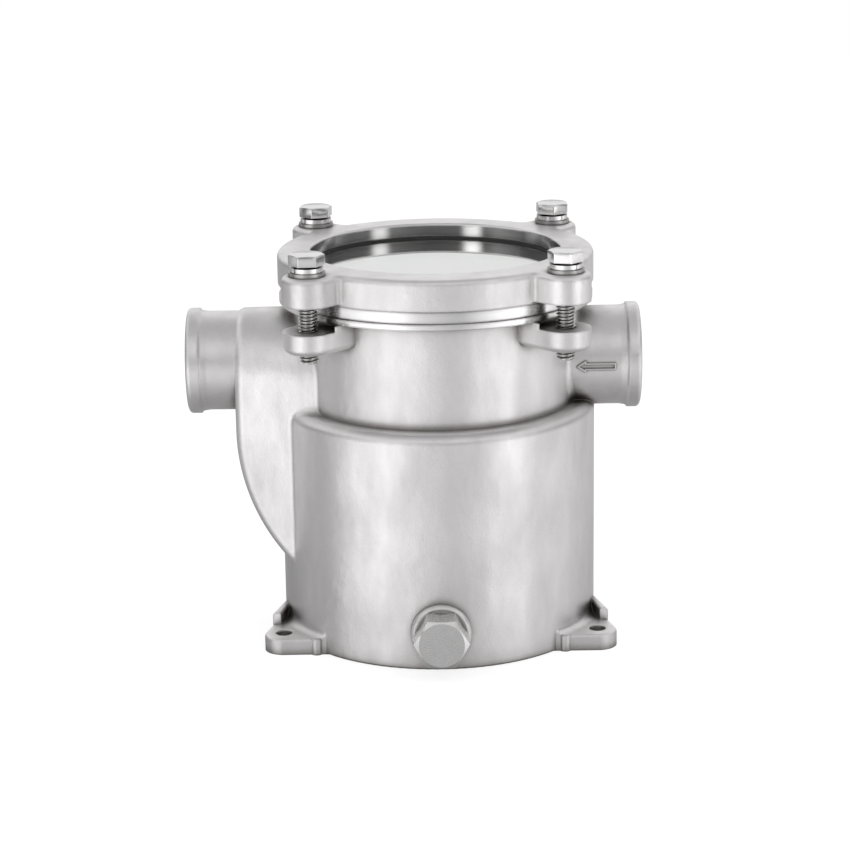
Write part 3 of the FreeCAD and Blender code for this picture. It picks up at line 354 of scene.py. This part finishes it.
def placed_copy(piece, name, place, turn):
    """A copy with its own mesh, turned about X, Y and Z and moved, with both in its mesh."""
    take(piece)
    bpy.ops.object.duplicate(linked=False)
    copy = added(name)
    copy.location = place
    copy.rotation_euler = turn
    bpy.ops.object.transform_apply(location=True, rotation=True, scale=True)
    return copy


# Material helpers

def put(tree, kind, inputs=None, **settings):
    """Adds a node: settings are its own, inputs are values or sockets for its inputs."""
    node = tree.nodes.new(kind)
    for key, value in settings.items():
        setattr(node, key, value)
    for key, value in (inputs or {}).items():
        if isinstance(value, bpy.types.NodeSocket):
            tree.links.new(value, node.inputs[key])
        else:
            node.inputs[key].default_value = value
    return node


def maths(tree, operation, *values):
    """One Math node's result."""
    return put(tree, "ShaderNodeMath", dict(enumerate(values)), operation=operation).outputs[0]


def blend_numbers(tree, factor, low, high, start=0.0, end=1.0):
    """A number that goes from low to high as the factor goes from start to end."""
    node = put(tree, "ShaderNodeMapRange", {"Value": factor, "From Min": start, "From Max": end,
                                            "To Min": low, "To Max": high})
    return node.outputs["Result"]


def blend_colours(tree, factor, first, second):
    """A colour between two, by the factor."""
    node = put(tree, "ShaderNodeMix", data_type="RGBA")
    # a Mix node has its factor at 0 and its two colours at 6 and 7
    for number, value in ((0, factor), (6, first), (7, second)):
        if isinstance(value, bpy.types.NodeSocket):
            tree.links.new(value, node.inputs[number])
        else:
            node.inputs[number].default_value = value
    return node.outputs[2]


def noise(tree, place, size, detail=2.0, stretch=(1.0, 1.0, 1.0)):
    """Noise with features of about this size, stretched along the axes."""
    if stretch != (1.0, 1.0, 1.0):
        scale = tuple(1.0 / s for s in stretch)
        place = put(tree, "ShaderNodeMapping", {"Vector": place, "Scale": scale}).outputs["Vector"]
    node = put(tree, "ShaderNodeTexNoise", {"Vector": place, "Scale": 1.0 / size, "Detail": detail})
    return node.outputs["Fac"]


def bump(tree, height, distance, below=None):
    """Bump of a height that spans 0 to 1 over this distance, on top of another bump."""
    inputs = {"Height": height, "Distance": distance, "Strength": 1.0}
    if below is not None:
        inputs["Normal"] = below
    return put(tree, "ShaderNodeBump", inputs).outputs["Normal"]


def new_material(name):
    """A material with a Principled shader: returns the material, its tree, the shader and the
    object's own coordinates."""
    material = bpy.data.materials.new(name)
    material.use_nodes = True
    tree = material.node_tree
    tree.nodes.clear()
    shader = put(tree, "ShaderNodeBsdfPrincipled")
    output = put(tree, "ShaderNodeOutputMaterial")
    tree.links.new(shader.outputs["BSDF"], output.inputs["Surface"])
    place = put(tree, "ShaderNodeTexCoord").outputs["Object"]
    return material, tree, shader, place


def feed(tree, shader, **inputs):
    """Sets or links the shader's inputs; an underscore stands for a space."""
    for key, value in inputs.items():
        socket = shader.inputs[key.replace("_", " ")]
        if isinstance(value, bpy.types.NodeSocket):
            tree.links.new(value, socket)
        else:
            socket.default_value = value


def solid(rgb):
    """A colour with full cover."""
    return (rgb[0], rgb[1], rgb[2], 1.0)


def tinted(rgb, factor):
    """A darker or lighter colour of the same hue."""
    return (min(rgb[0] * factor, 1.0), min(rgb[1] * factor, 1.0), min(rgb[2] * factor, 1.0), 1.0)


def mottled(tree, factor, rgb, dark, pale):
    """A colour that the factor takes from darker to paler, dark and pale times this one."""
    return blend_colours(tree, factor, tinted(rgb, dark), tinted(rgb, pale))


def between(tree, value, low, high):
    """1 where the value lies between low and high, else 0."""
    above = maths(tree, "GREATER_THAN", value, low)
    below = maths(tree, "LESS_THAN", value, high)
    return maths(tree, "MULTIPLY", above, below)


def painted_shade_in_gaps(tree, tone, shade_colour, reach, closed, free):
    """Painted shade: a colour that turns to the shade colour where other faces stand nearer than this
    reach: closed and free are the shares of open sky at which it is all shade and not shaded at all."""
    sky = put(tree, "ShaderNodeAmbientOcclusion", {"Distance": reach}, samples=12).outputs["AO"]
    return blend_colours(tree, blend_numbers(tree, sky, 0.0, 1.0, closed, free), shade_colour, tone)


def seen_directly(tree, path):
    """1 for a ray straight from the camera or just out of glass, else 0."""
    return maths(tree, "MAXIMUM", path.outputs["Is Camera Ray"], path.outputs["Is Transmission Ray"])


def axis_distance(tree, place):
    """Distance from the body's upright axis, and height."""
    parts = put(tree, "ShaderNodeSeparateXYZ", {"Vector": place})
    flat = put(tree, "ShaderNodeCombineXYZ", {"X": parts.outputs["X"], "Y": parts.outputs["Y"]})
    far = put(tree, "ShaderNodeVectorMath", {0: flat.outputs["Vector"]}, operation="LENGTH")
    return far.outputs["Value"], parts.outputs["Z"]


def cast_steel(name, machined, gloss):
    """Blasted cast steel. machined gives, from the distance to the axis and the height, where the
    casting was turned bright, and gloss is the least and greatest roughness there."""
    finish = sizes("strainer_finishes")
    material, tree, shader, place = new_material(name)
    far, height = axis_distance(tree, place)
    bright = machined(tree, far, height)
    dull_part = maths(tree, "SUBTRACT", 1.0, bright)
    grain = noise(tree, place, finish.grain, 3.0)
    lumps = noise(tree, place, finish.lumps, 2.0)
    clouds = noise(tree, place, finish.lumps * 6, 3.0)
    streaks = noise(tree, place, finish.lumps * 1.5, 4.0, stretch=(1.0, 1.0, 3.0))
    # cloudy patches with upright streaks, and the darker pits of the blasting
    uneven = maths(tree, "MULTIPLY_ADD", streaks, 0.6, maths(tree, "MULTIPLY", clouds, 0.4))
    patches = blend_numbers(tree, uneven, 0.0, 1.0, start=0.34, end=0.66)
    cast = mottled(tree, patches, finish.cast, dark=0.91, pale=1.06)
    pits = blend_numbers(tree, grain, 0.0, 0.14, start=0.4, end=0.75)
    cast = blend_colours(tree, pits, cast, tinted(finish.cast, 0.72))
    # painted shade, soft and wide, beside the castings' creases
    cast = painted_shade_in_gaps(tree, cast, solid(finish.shade_colour), finish.shade, closed=0.0, free=0.8)
    # long level lines round the axis, left by the turning tool
    turning = noise(tree, place, finish.turning, 2.0, stretch=(40.0, 40.0, 0.25))
    turned = mottled(tree, turning, finish.turned, dark=0.88, pale=1.08)
    cast_rough = blend_numbers(tree, patches, finish.cast_roughness + 0.06, finish.cast_roughness - 0.06)
    turned_rough = blend_numbers(tree, turning, *gloss)
    normal = put(tree, "ShaderNodeBevel", {"Radius": finish.soft_edge}, samples=4).outputs["Normal"]
    for part, relief, depth in ((dull_part, lumps, finish.lump_depth),
                                (dull_part, grain, finish.grain_depth),
                                (bright, turning, finish.turning_depth)):
        normal = bump(tree, maths(tree, "MULTIPLY", part, relief), depth, normal)
    tone = blend_colours(tree, bright, cast, turned)
    # a painted dark line of shade right in the creases
    tone = painted_shade_in_gaps(tree, tone, solid(finish.shade_colour), finish.crease, closed=0.36, free=0.9)
    rough = blend_numbers(tree, bright, cast_rough, turned_rough)
    feed(tree, shader, Base_Color=tone, Metallic=1.0, Roughness=rough, Normal=normal)
    return material


def body_machined(tree, far, height):
    """The turned band and lip below the joint with the cover, and the face that the cover sits on."""
    faces = sizes("strainer_turned")
    band = between(tree, height, faces.lip_foot, faces.flange_face)
    rim = between(tree, far, faces.flange_inside, faces.lip_edge)
    return maths(tree, "MULTIPLY", band, rim)


def ring_machined(tree, far, height):
    """The bore above the sight disc, and the flat underside of the cover ring."""
    faces = sizes("strainer_turned")
    bore = maths(tree, "LESS_THAN", far, faces.ring_bore)
    under = maths(tree, "LESS_THAN", height, faces.ring_underside)
    return maths(tree, "MAXIMUM", bore, under)


def screw_steel(name, rgb, rough, gap):
    """Polished steel of bought screws, washers and the plug, with fine scratches. Shade is painted in
    where other faces stand nearer than the gap."""
    finish = sizes("strainer_finishes")
    material, tree, shader, place = new_material(name)
    waves = noise(tree, place, finish.waves, 3.0)
    scratches = noise(tree, place, finish.scratch, 2.0, stretch=(1.0, 7.0, 1.0))
    tone = mottled(tree, waves, rgb, dark=0.9, pale=1.08)
    # painted shade where other faces stand near
    tone = painted_shade_in_gaps(tree, tone, tinted(rgb, 0.05), gap, closed=0.35, free=0.85)
    normal = bump(tree, waves, finish.wave_depth)
    normal = bump(tree, scratches, finish.scratch_depth, normal)
    feed(tree, shader, Base_Color=tone, Metallic=1.0, Normal=normal,
         Roughness=blend_numbers(tree, scratches, rough - 0.06, rough + 0.1))
    return material


def sheet_steel(name):
    """Rolled sheet of the basket, with a faint grain along the rolling."""
    finish = sizes("strainer_finishes")
    material, tree, shader, place = new_material(name)
    rolling = noise(tree, place, finish.rolling, 2.0, stretch=(1.0, 1.0, 12.0))
    clouds = noise(tree, place, finish.waves * 3, 3.0)
    tone = mottled(tree, clouds, finish.sheet, dark=0.9, pale=1.06)
    # painted shade where the basket's walls stand near each other
    tone = painted_shade_in_gaps(tree, tone, tinted(finish.sheet, 0.25), finish.hollow, closed=0.0, free=1.0)
    feed(tree, shader, Base_Color=tone, Metallic=1.0, Normal=bump(tree, rolling, finish.rolling_depth),
         Roughness=blend_numbers(tree, rolling, 0.26, 0.40))
    return material


def dull(name, rgb, rough, grain, depth):
    """Rubber or fibre with a fine grain."""
    material, tree, shader, place = new_material(name)
    fine = noise(tree, place, grain, 3.0)
    clouds = noise(tree, place, grain * 12, 2.0)
    tone = mottled(tree, clouds, rgb, dark=0.8, pale=1.3)
    feed(tree, shader, Base_Color=tone, Normal=bump(tree, fine, depth),
         Roughness=blend_numbers(tree, fine, rough - 0.08, rough + 0.08))
    return material


def clear_disc(name):
    """The clear disc of the cover: it mirrors strongly where it is seen at a low angle."""
    finish = sizes("strainer_finishes")
    material, tree, shader, place = new_material(name)
    haze = noise(tree, place, finish.haze, 2.0)
    feed(tree, shader, Base_Color=solid(finish.clear), Transmission_Weight=1.0, IOR=1.49,
         Roughness=blend_numbers(tree, haze, 0.0, 0.03))
    waves = bump(tree, haze, finish.haze_depth)
    mirror = put(tree, "ShaderNodeBsdfGlossy", {"Color": solid(finish.mirror), "Roughness": 0.02,
                                                "Normal": waves})
    facing = put(tree, "ShaderNodeLayerWeight", {"Blend": 0.5}).outputs["Facing"]
    factor = blend_numbers(tree, facing, finish.face_mirror, finish.side_mirror, start=0.25, end=0.75)
    mixed = put(tree, "ShaderNodeMixShader", {0: factor, 1: shader.outputs["BSDF"],
                                              2: mirror.outputs["BSDF"]})
    output = next(node for node in tree.nodes if node.type == "OUTPUT_MATERIAL")
    tree.links.new(mixed.outputs["Shader"], output.inputs["Surface"])
    return material


def dress(piece, material):
    """Gives the piece this one material."""
    piece.data.materials.clear()
    piece.data.materials.append(material)


class DressCastings(bpy.types.Operator):
    """Gives the body casting and the cover ring their blasted and turned finish"""
    bl_idname = "strainer.dress_castings"
    bl_label = "Dress the castings"

    def execute(self, context):
        dress(frame["nodes"]["body_casting"], cast_steel("cast_body", body_machined, BODY_GLOSS))
        dress(frame["nodes"]["cover_ring"], cast_steel("cast_ring", ring_machined, RING_GLOSS))
        return {"FINISHED"}


class DressDisc(bpy.types.Operator):
    """Gives the sight disc its clear finish"""
    bl_idname = "strainer.dress_disc"
    bl_label = "Dress the sight disc"

    def execute(self, context):
        dress(frame["nodes"]["sight_disc"], clear_disc("clear_disc"))
        return {"FINISHED"}


class DressSeals(bpy.types.Operator):
    """Gives the seals their rubber and the plug's washer its fibre"""
    bl_idname = "strainer.dress_seals"
    bl_label = "Dress the seals"

    def execute(self, context):
        finish = context.scene.strainer_finishes
        rubber = dull("seal_rubber", finish.rubber, rough=0.62, grain=0.3 * MM, depth=0.02 * MM)
        for node in ("disc_gasket", "flange_seal"):
            dress(frame["nodes"][node], rubber)
        fibre = dull("washer_fibre", finish.fibre, rough=0.75, grain=0.25 * MM, depth=0.03 * MM)
        dress(frame["nodes"]["drain_plug_washer"], fibre)
        return {"FINISHED"}


class DressFasteners(bpy.types.Operator):
    """Gives the washers and the drain plug their polished steel"""
    bl_idname = "strainer.dress_fasteners"
    bl_label = "Dress the washers and the plug"

    def execute(self, context):
        finish = context.scene.strainer_finishes
        # the flat washers are coloured dark as painted shade under the spring washers
        washers = screw_steel("washer_steel_with_painted_shade", finish.washer, rough=0.3, gap=finish.gap)
        springs = screw_steel("spring_steel", finish.screw, rough=0.2, gap=finish.gap)
        for corner in CORNERS:
            dress(frame["nodes"]["flat_washer_" + corner], washers)
            dress(frame["nodes"]["spring_washer_" + corner], springs)
        plug = screw_steel("plug_steel", finish.plug, rough=0.24, gap=finish.plug_gap)
        dress(frame["nodes"]["drain_plug"], plug)
        return {"FINISHED"}


class MakeLidScrews(bpy.types.Operator):
    """Makes the four threaded lid screws with their six-sided heads"""
    bl_idname = "strainer.make_lid_screws"
    bl_label = "Make the lid screws"

    def execute(self, context):
        wish = context.scene.strainer_screws
        finish = context.scene.strainer_finishes
        low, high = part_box("lid_screw_front_left")
        seat = high.z - wish.head_height
        half = wish.flats / 2
        core = wish.radius - wish.depth - wish.core_gap
        clear = 2 * wish.radius
        # radii of the collar under the head, clear of its corners, and of its flat top
        collar, corners, top = 0.8 * half, 1.35 * half, 0.98 * half
        crown_depth = 0.16 * half
        lead = 1.4 * wish.radius
        # the rod ends inside the head
        screw = threaded_rod("lid_screw_form", wish.radius, wish.depth, wish.pitch, low.z,
                             seat + wish.head_height / 2, wish.steps)
        # a blunt cone leads the thread in, and above it the blank is clear of the thread
        blank = turned_blank("screw_blank", (
            (0.0, low.z - wish.tip), (core, low.z - wish.tip), (core, low.z),
            (clear, low.z + lead), (clear, high.z), (0.0, high.z)), wish.steps)
        combine(screw, blank, "INTERSECT")
        head = hexagon("screw_head", wish.flats, seat, high.z)
        crown = turned_blank("screw_crown", (
            (0.0, seat - wish.collar), (collar, seat - wish.collar), (collar, seat + wish.collar),
            (corners, seat + wish.collar), (corners, high.z - crown_depth), (top, high.z),
            (0.0, high.z)), wish.crown_steps)
        combine(head, crown, "INTERSECT")
        finish_with(head, "BEVEL", width=wish.edge, segments=2, limit_method="ANGLE",
                    angle_limit=math.radians(25))
        combine(screw, head, "UNION")
        smooth_by_angle(screw, 32)
        dress(screw, screw_steel("screw_steel", finish.screw, rough=0.2, gap=finish.gap))
        self.split_finish(screw, seat)
        for corner in CORNERS:
            node = "lid_screw_" + corner
            low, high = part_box(node)
            middle = (low + high) / 2
            piece = placed_copy(screw, "threaded_screw_" + corner, (middle.x, middle.y, 0.0),
                                (0.0, 0.0, math.radians(HEAD_TURNS[corner])))
            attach(piece, "screw_" + corner)
            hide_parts(node)
        bpy.data.objects.remove(screw)
        return {"FINISHED"}

    def split_finish(self, screw, seat):
        """Gives the shank below the head a rougher, darker steel: partly the real finish of rolled threads,
        partly painted shade in the thread.
        """
        finish = bpy.context.scene.strainer_finishes
        rougher_and_shaded = screw_steel("thread_steel", finish.thread, rough=0.24, gap=finish.gap)
        screw.data.materials.append(rougher_and_shaded)
        for face in screw.data.polygons:
            if face.center.z < seat - WELD:
                face.material_index = 1


class MakePortThreads(bpy.types.Operator):
    """Makes the pipe threads on the walls of both ports"""
    bl_idname = "strainer.make_port_threads"
    bl_label = "Make the port threads"

    def execute(self, context):
        wish = context.scene.strainer_ports
        wall = wish.radius + wish.bite
        ridge = wish.radius - wish.depth
        sleeve = turned_blank("port_sleeve", ((0.0, -wish.run), (wall, -wish.run), (wall, 0.0), (0.0, 0.0)),
                              wish.steps)
        combine(sleeve, threaded_rod("port_tap", wish.radius - wish.bite, wish.depth, wish.pitch,
                                     -wish.run - wish.pitch, wish.pitch, wish.steps), "DIFFERENCE")
        # a cone leads the pipe into the thread
        combine(sleeve, turned_blank("port_mouth", (
            (0.0, -wish.mouth), (ridge, -wish.mouth), (wall, -wish.mouth / 3), (wall, wish.mouth),
            (0.0, wish.mouth)), wish.steps), "DIFFERENCE")
        smooth_by_angle(sleeve, 32)
        finish = context.scene.strainer_finishes
        dress(sleeve, screw_steel("port_steel", finish.turned, rough=0.26, gap=finish.gap))
        mounts = {mount["name"]: mount for mount in frame["record"]["mounts"]}
        for port, side in (("inlet", 1), ("outlet", -1)):
            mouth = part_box("body_casting")[side > 0].x
            level = mounts[port]["pos_m"][2]
            piece = placed_copy(sleeve, port + "_thread", (mouth, 0.0, level),
                                (0.0, side * math.pi / 2, 0.0))
            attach(piece, "body")
        bpy.data.objects.remove(sleeve)
        return {"FINISHED"}


class MakeBasket(bpy.types.Operator):
    """Makes the perforated sheet of the basket, and gives the whole basket its sheet steel"""
    bl_idname = "strainer.make_basket"
    bl_label = "Make the basket"

    def execute(self, context):
        wish = context.scene.strainer_basket
        low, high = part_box("basket_shell")
        radius = high.x
        pitch = math.tau * radius / wish.holes_round
        room = high.z - low.z - 2 * wish.margin
        # rows come in pairs, the upper one shifted by half a hole
        pairs = round(room / (pitch * math.sin(math.pi / 3)) / 2)
        rise = room / pairs / 2
        shell = self.cell(pitch, rise, wish.hole)
        for count, offset in ((wish.holes_round, (pitch, 0.0, 0.0)), (2, (pitch / 2, 0.0, rise)),
                              (pairs, (0.0, 0.0, 2 * rise))):
            finish_with(shell, "ARRAY", count=count, use_relative_offset=False, use_constant_offset=True,
                        constant_offset_displace=offset, use_merge_vertices=True, merge_threshold=WELD)
        # rolled up round the upright axis, with the half hole that the upper rows stand out past it
        finish_with(shell, "SIMPLE_DEFORM", deform_method="BEND", deform_axis="Z",
                    angle=math.tau * (wish.holes_round + 0.5) / wish.holes_round)
        self.close_sheet(shell, radius, low.z + wish.margin, wish)
        finish_with(shell, "SOLIDIFY", thickness=wish.sheet, offset=-1.0, use_even_offset=True)
        smooth_by_angle(shell, 35)
        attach(shell, "body")
        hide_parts("basket_shell")
        sheet = sheet_steel("sheet_steel")
        dress(shell, sheet)
        for node in ("basket_floor", "basket_rim", "basket_handle"):
            dress(frame["nodes"][node], sheet)
        return {"FINISHED"}

    def cell(self, pitch, rise, hole):
        """One hole in its piece of sheet, upright in the XZ plane, with its low left corner at the
        origin."""
        bpy.ops.object.select_all(action="DESELECT")
        bpy.ops.mesh.primitive_grid_add(x_subdivisions=4, y_subdivisions=2, size=1.0)
        shell = added("perforated_shell")
        bpy.ops.object.mode_set(mode="EDIT")
        bpy.ops.mesh.select_all(action="SELECT")
        bpy.ops.transform.resize(value=(pitch, rise, 1.0))
        # the inside of the grid makes way, and its border has as many corners as the hole
        choose(shell, "VERT", lambda spot: abs(spot.co.x) < 0.4 * pitch and abs(spot.co.y) < 0.4 * rise)
        bpy.ops.mesh.delete(type="VERT")
        bpy.ops.mesh.select_all(action="DESELECT")
        bpy.ops.mesh.primitive_circle_add(vertices=12, radius=hole)
        bpy.ops.mesh.select_mode(type="EDGE")
        bpy.ops.mesh.select_all(action="SELECT")
        bpy.ops.mesh.bridge_edge_loops()
        bpy.ops.mesh.select_all(action="SELECT")
        bpy.ops.transform.rotate(value=-math.pi / 2, orient_axis="X", center_override=(0, 0, 0))
        bpy.ops.transform.translate(value=(pitch / 2, 0.0, rise / 2))
        bpy.ops.object.mode_set(mode="OBJECT")
        return shell

    def close_sheet(self, shell, radius, first_row, wish):
        """Centres the rolled sheet on the axis, closes its seam and draws out its plain margins."""
        take(shell)
        bpy.ops.object.mode_set(mode="EDIT")
        bpy.ops.mesh.select_all(action="SELECT")
        bpy.ops.transform.translate(value=(0.0, -radius, first_row))
        bpy.ops.mesh.remove_doubles(threshold=WELD * 10)
        heights = [vertex.co.z for vertex in bmesh.from_edit_mesh(shell.data).verts]
        for level, step in ((min(heights), -wish.margin), (max(heights), wish.margin)):
            choose(shell, "EDGE", lambda edge: all(abs(end.co.z - level) < WELD * 10 for end in edge.verts))
            bpy.ops.mesh.extrude_region_move(TRANSFORM_OT_translate={"value": (0.0, 0.0, step)})
        bpy.ops.mesh.select_all(action="SELECT")
        bpy.ops.mesh.normals_make_consistent(inside=False)
        form = bmesh.from_edit_mesh(shell.data)
        outwards = sum(face.normal.xy.dot(face.calc_center_median().xy) for face in form.faces)
        if outwards < 0:
            bpy.ops.mesh.flip_normals()
        bpy.ops.object.mode_set(mode="OBJECT")


def bearing_ramp(tree, bearing, levels):
    """The level at a bearing, between the levels given at some bearings in degrees."""
    # the ramp runs once round, and the camera's side is at its middle
    ramp = put(tree, "ShaderNodeValToRGB", {"Fac": bearing})
    stops = ramp.color_ramp.elements
    while len(stops) < len(levels):
        stops.new(0.5)
    for stop, (degrees, level) in zip(stops, levels):
        stop.position = degrees / 360 + 0.5
        stop.color = (level, level, level, 1.0)
    return ramp.outputs["Color"]


class SetStage(bpy.types.Operator):
    """Sets the floor, the studio light and the camera"""
    bl_idname = "strainer.set_stage"
    bl_label = "Set the stage"

    def execute(self, context):
        stage = context.scene.strainer_stage
        self.light_world(stage)
        self.lay_floor(stage)
        self.hang_lamps(stage)
        self.set_camera(stage)
        context.scene.view_settings.view_transform = "Standard"
        return {"FINISHED"}

    def light_world(self, stage):
        """Light from all round: what metal mirrors goes by bearing and height, the rest is even."""
        world = bpy.data.worlds.new("studio")
        bpy.context.scene.world = world
        world.use_nodes = True
        world.cycles.sampling_method = "NONE"
        tree = world.node_tree
        tree.nodes.clear()
        way = put(tree, "ShaderNodeTexCoord").outputs["Generated"]
        parts = put(tree, "ShaderNodeSeparateXYZ", {"Vector": way})
        x, y, z = (parts.outputs[axis] for axis in "XYZ")
        turn = maths(tree, "ARCTAN2", x, maths(tree, "MULTIPLY", y, -1.0))
        bearing = maths(tree, "MULTIPLY_ADD", turn, 1 / math.tau, 0.5)
        below = bearing_ramp(tree, bearing, FLOOR_LEVELS)
        wall = bearing_ramp(tree, bearing, WALL_LEVELS)
        # the heights between which each light gives way to the next one up
        mirrored = solid((stage.underneath,) * 3)
        for low, high, light in ((-0.95, -0.45, below), (-0.03, 0.11, wall),
                                 (0.30, 0.40, solid((stage.fill,) * 3)),
                                 (0.65, 0.90, solid((stage.overhead,) * 3))):
            mirrored = blend_colours(tree, blend_numbers(tree, z, 0.0, 1.0, low, high), mirrored, light)
        path = put(tree, "ShaderNodeLightPath")
        mirrored = blend_colours(tree, path.outputs["Is Glossy Ray"], solid((stage.ambient,) * 3), mirrored)
        seen = blend_colours(tree, seen_directly(tree, path), mirrored, WHITE)
        glow = put(tree, "ShaderNodeBackground", {"Color": seen, "Strength": 1.0})
        put(tree, "ShaderNodeOutputWorld", {"Surface": glow.outputs["Background"]})

    def lay_floor(self, stage):
        """A pale floor that reads as white and keeps the shadow of the strainer."""
        bpy.ops.object.select_all(action="DESELECT")
        bpy.ops.mesh.primitive_plane_add(size=stage.floor_size)
        floor = added("studio_floor")
        material = bpy.data.materials.new("pale_floor")
        material.use_nodes = True
        material.cycles.emission_sampling = "NONE"
        tree = material.node_tree
        tree.nodes.clear()
        dull_part = put(tree, "ShaderNodeBsdfDiffuse", {"Color": PALE})
        glow = put(tree, "ShaderNodeEmission", {"Color": WHITE, "Strength": stage.floor_white})
        path = put(tree, "ShaderNodeLightPath")
        amount = maths(tree, "MULTIPLY", seen_directly(tree, path), stage.floor_glow)
        lit = put(tree, "ShaderNodeMixShader", {0: amount, 1: dull_part.outputs["BSDF"],
                                                2: glow.outputs["Emission"]})
        # metal mirrors the world's lower half through the floor, with painted shade near the foot
        far, _ = axis_distance(tree, put(tree, "ShaderNodeTexCoord").outputs["Object"])
        shade = blend_numbers(tree, far, stage.near_shade, 1.0, 0.0, stage.shade_reach)
        tint = put(tree, "ShaderNodeCombineColor", {"Red": shade, "Green": shade, "Blue": shade})
        mirrored = put(tree, "ShaderNodeBsdfTransparent", {"Color": tint.outputs["Color"]})
        mixed = put(tree, "ShaderNodeMixShader", {0: path.outputs["Is Glossy Ray"], 1: lit.outputs["Shader"],
                                                  2: mirrored.outputs["BSDF"]})
        put(tree, "ShaderNodeOutputMaterial", {"Surface": mixed.outputs["Shader"]})
        dress(floor, material)

    def hang_lamps(self, stage):
        """Soft lamps that metal doesn't mirror."""
        for side, place in LAMP_PLACES.items():
            lamp = bpy.data.lights.new("lamp_" + side, "AREA")
            lamp.shape = "DISK"
            lamp.size = LAMP_SIZE
            lamp.energy = stage.lamp
            holder = bpy.data.objects.new("lamp_" + side, lamp)
            bpy.context.scene.collection.objects.link(holder)
            holder.location = place
            aim = Vector(LAMP_AIM) - Vector(place)
            holder.rotation_euler = aim.to_track_quat("-Z", "Y").to_euler()
            holder.visible_glossy = False

    def set_camera(self, stage):
        """The camera at the height, distance and lens of a product picture."""
        camera = bpy.data.objects.new("camera", bpy.data.cameras.new("camera"))
        bpy.context.scene.collection.objects.link(camera)
        camera.data.lens = stage.lens
        camera.data.sensor_width = 36.0
        camera.data.clip_start = 0.05
        camera.data.clip_end = 60.0
        camera.location = stage.camera_place
        fall, turn = stage.camera_pitch, stage.camera_bearing
        ahead = Vector((math.sin(turn) * math.cos(fall), math.cos(turn) * math.cos(fall), -math.sin(fall)))
        lean = Quaternion((0.0, 0.0, 1.0), stage.camera_roll)
        camera.rotation_euler = (ahead.to_track_quat("-Z", "Y") @ lean).to_euler()
        bpy.context.scene.camera = camera


OPERATORS = (DressCastings, DressDisc, DressSeals, DressFasteners, MakeLidScrews, MakePortThreads,
             MakeBasket, SetStage)
GROUPS = {"strainer_screws": ScrewSizes, "strainer_ports": PortSizes, "strainer_basket": BasketSizes,
          "strainer_finishes": Finishes, "strainer_turned": TurnedFaces, "strainer_stage": StageSettings}


class StrainerPanel(bpy.types.Panel):
    """Lists the pieces that can be made and their settings"""
    bl_idname = "VIEW3D_PT_strainer"
    bl_label = "Sea water strainer"
    bl_space_type = "VIEW_3D"
    bl_region_type = "UI"
    bl_category = "Strainer"

    def draw(self, context):
        for operator in OPERATORS:
            self.layout.operator(operator.bl_idname)
        for name, group in GROUPS.items():
            settings = getattr(context.scene, name)
            box = self.layout.box()
            box.label(text=group.__doc__)
            for key in group.__annotations__:
                box.prop(settings, key)


def register():
    for name, group in GROUPS.items():
        bpy.utils.register_class(group)
        setattr(bpy.types.Scene, name, bpy.props.PointerProperty(type=group))
    for item in OPERATORS + (StrainerPanel,):
        bpy.utils.register_class(item)


def unregister():
    for item in (StrainerPanel,) + OPERATORS[::-1]:
        bpy.utils.unregister_class(item)
    for name, group in GROUPS.items():
        delattr(bpy.types.Scene, name)
        bpy.utils.unregister_class(group)


def main():
    register()
    bpy.ops.strainer.dress_castings()
    bpy.ops.strainer.dress_disc()
    bpy.ops.strainer.dress_seals()
    bpy.ops.strainer.dress_fasteners()
    bpy.ops.strainer.make_lid_screws()
    bpy.ops.strainer.make_port_threads()
    bpy.ops.strainer.make_basket()
    bpy.ops.strainer.set_stage()


if __name__ == "__main__":
    main()
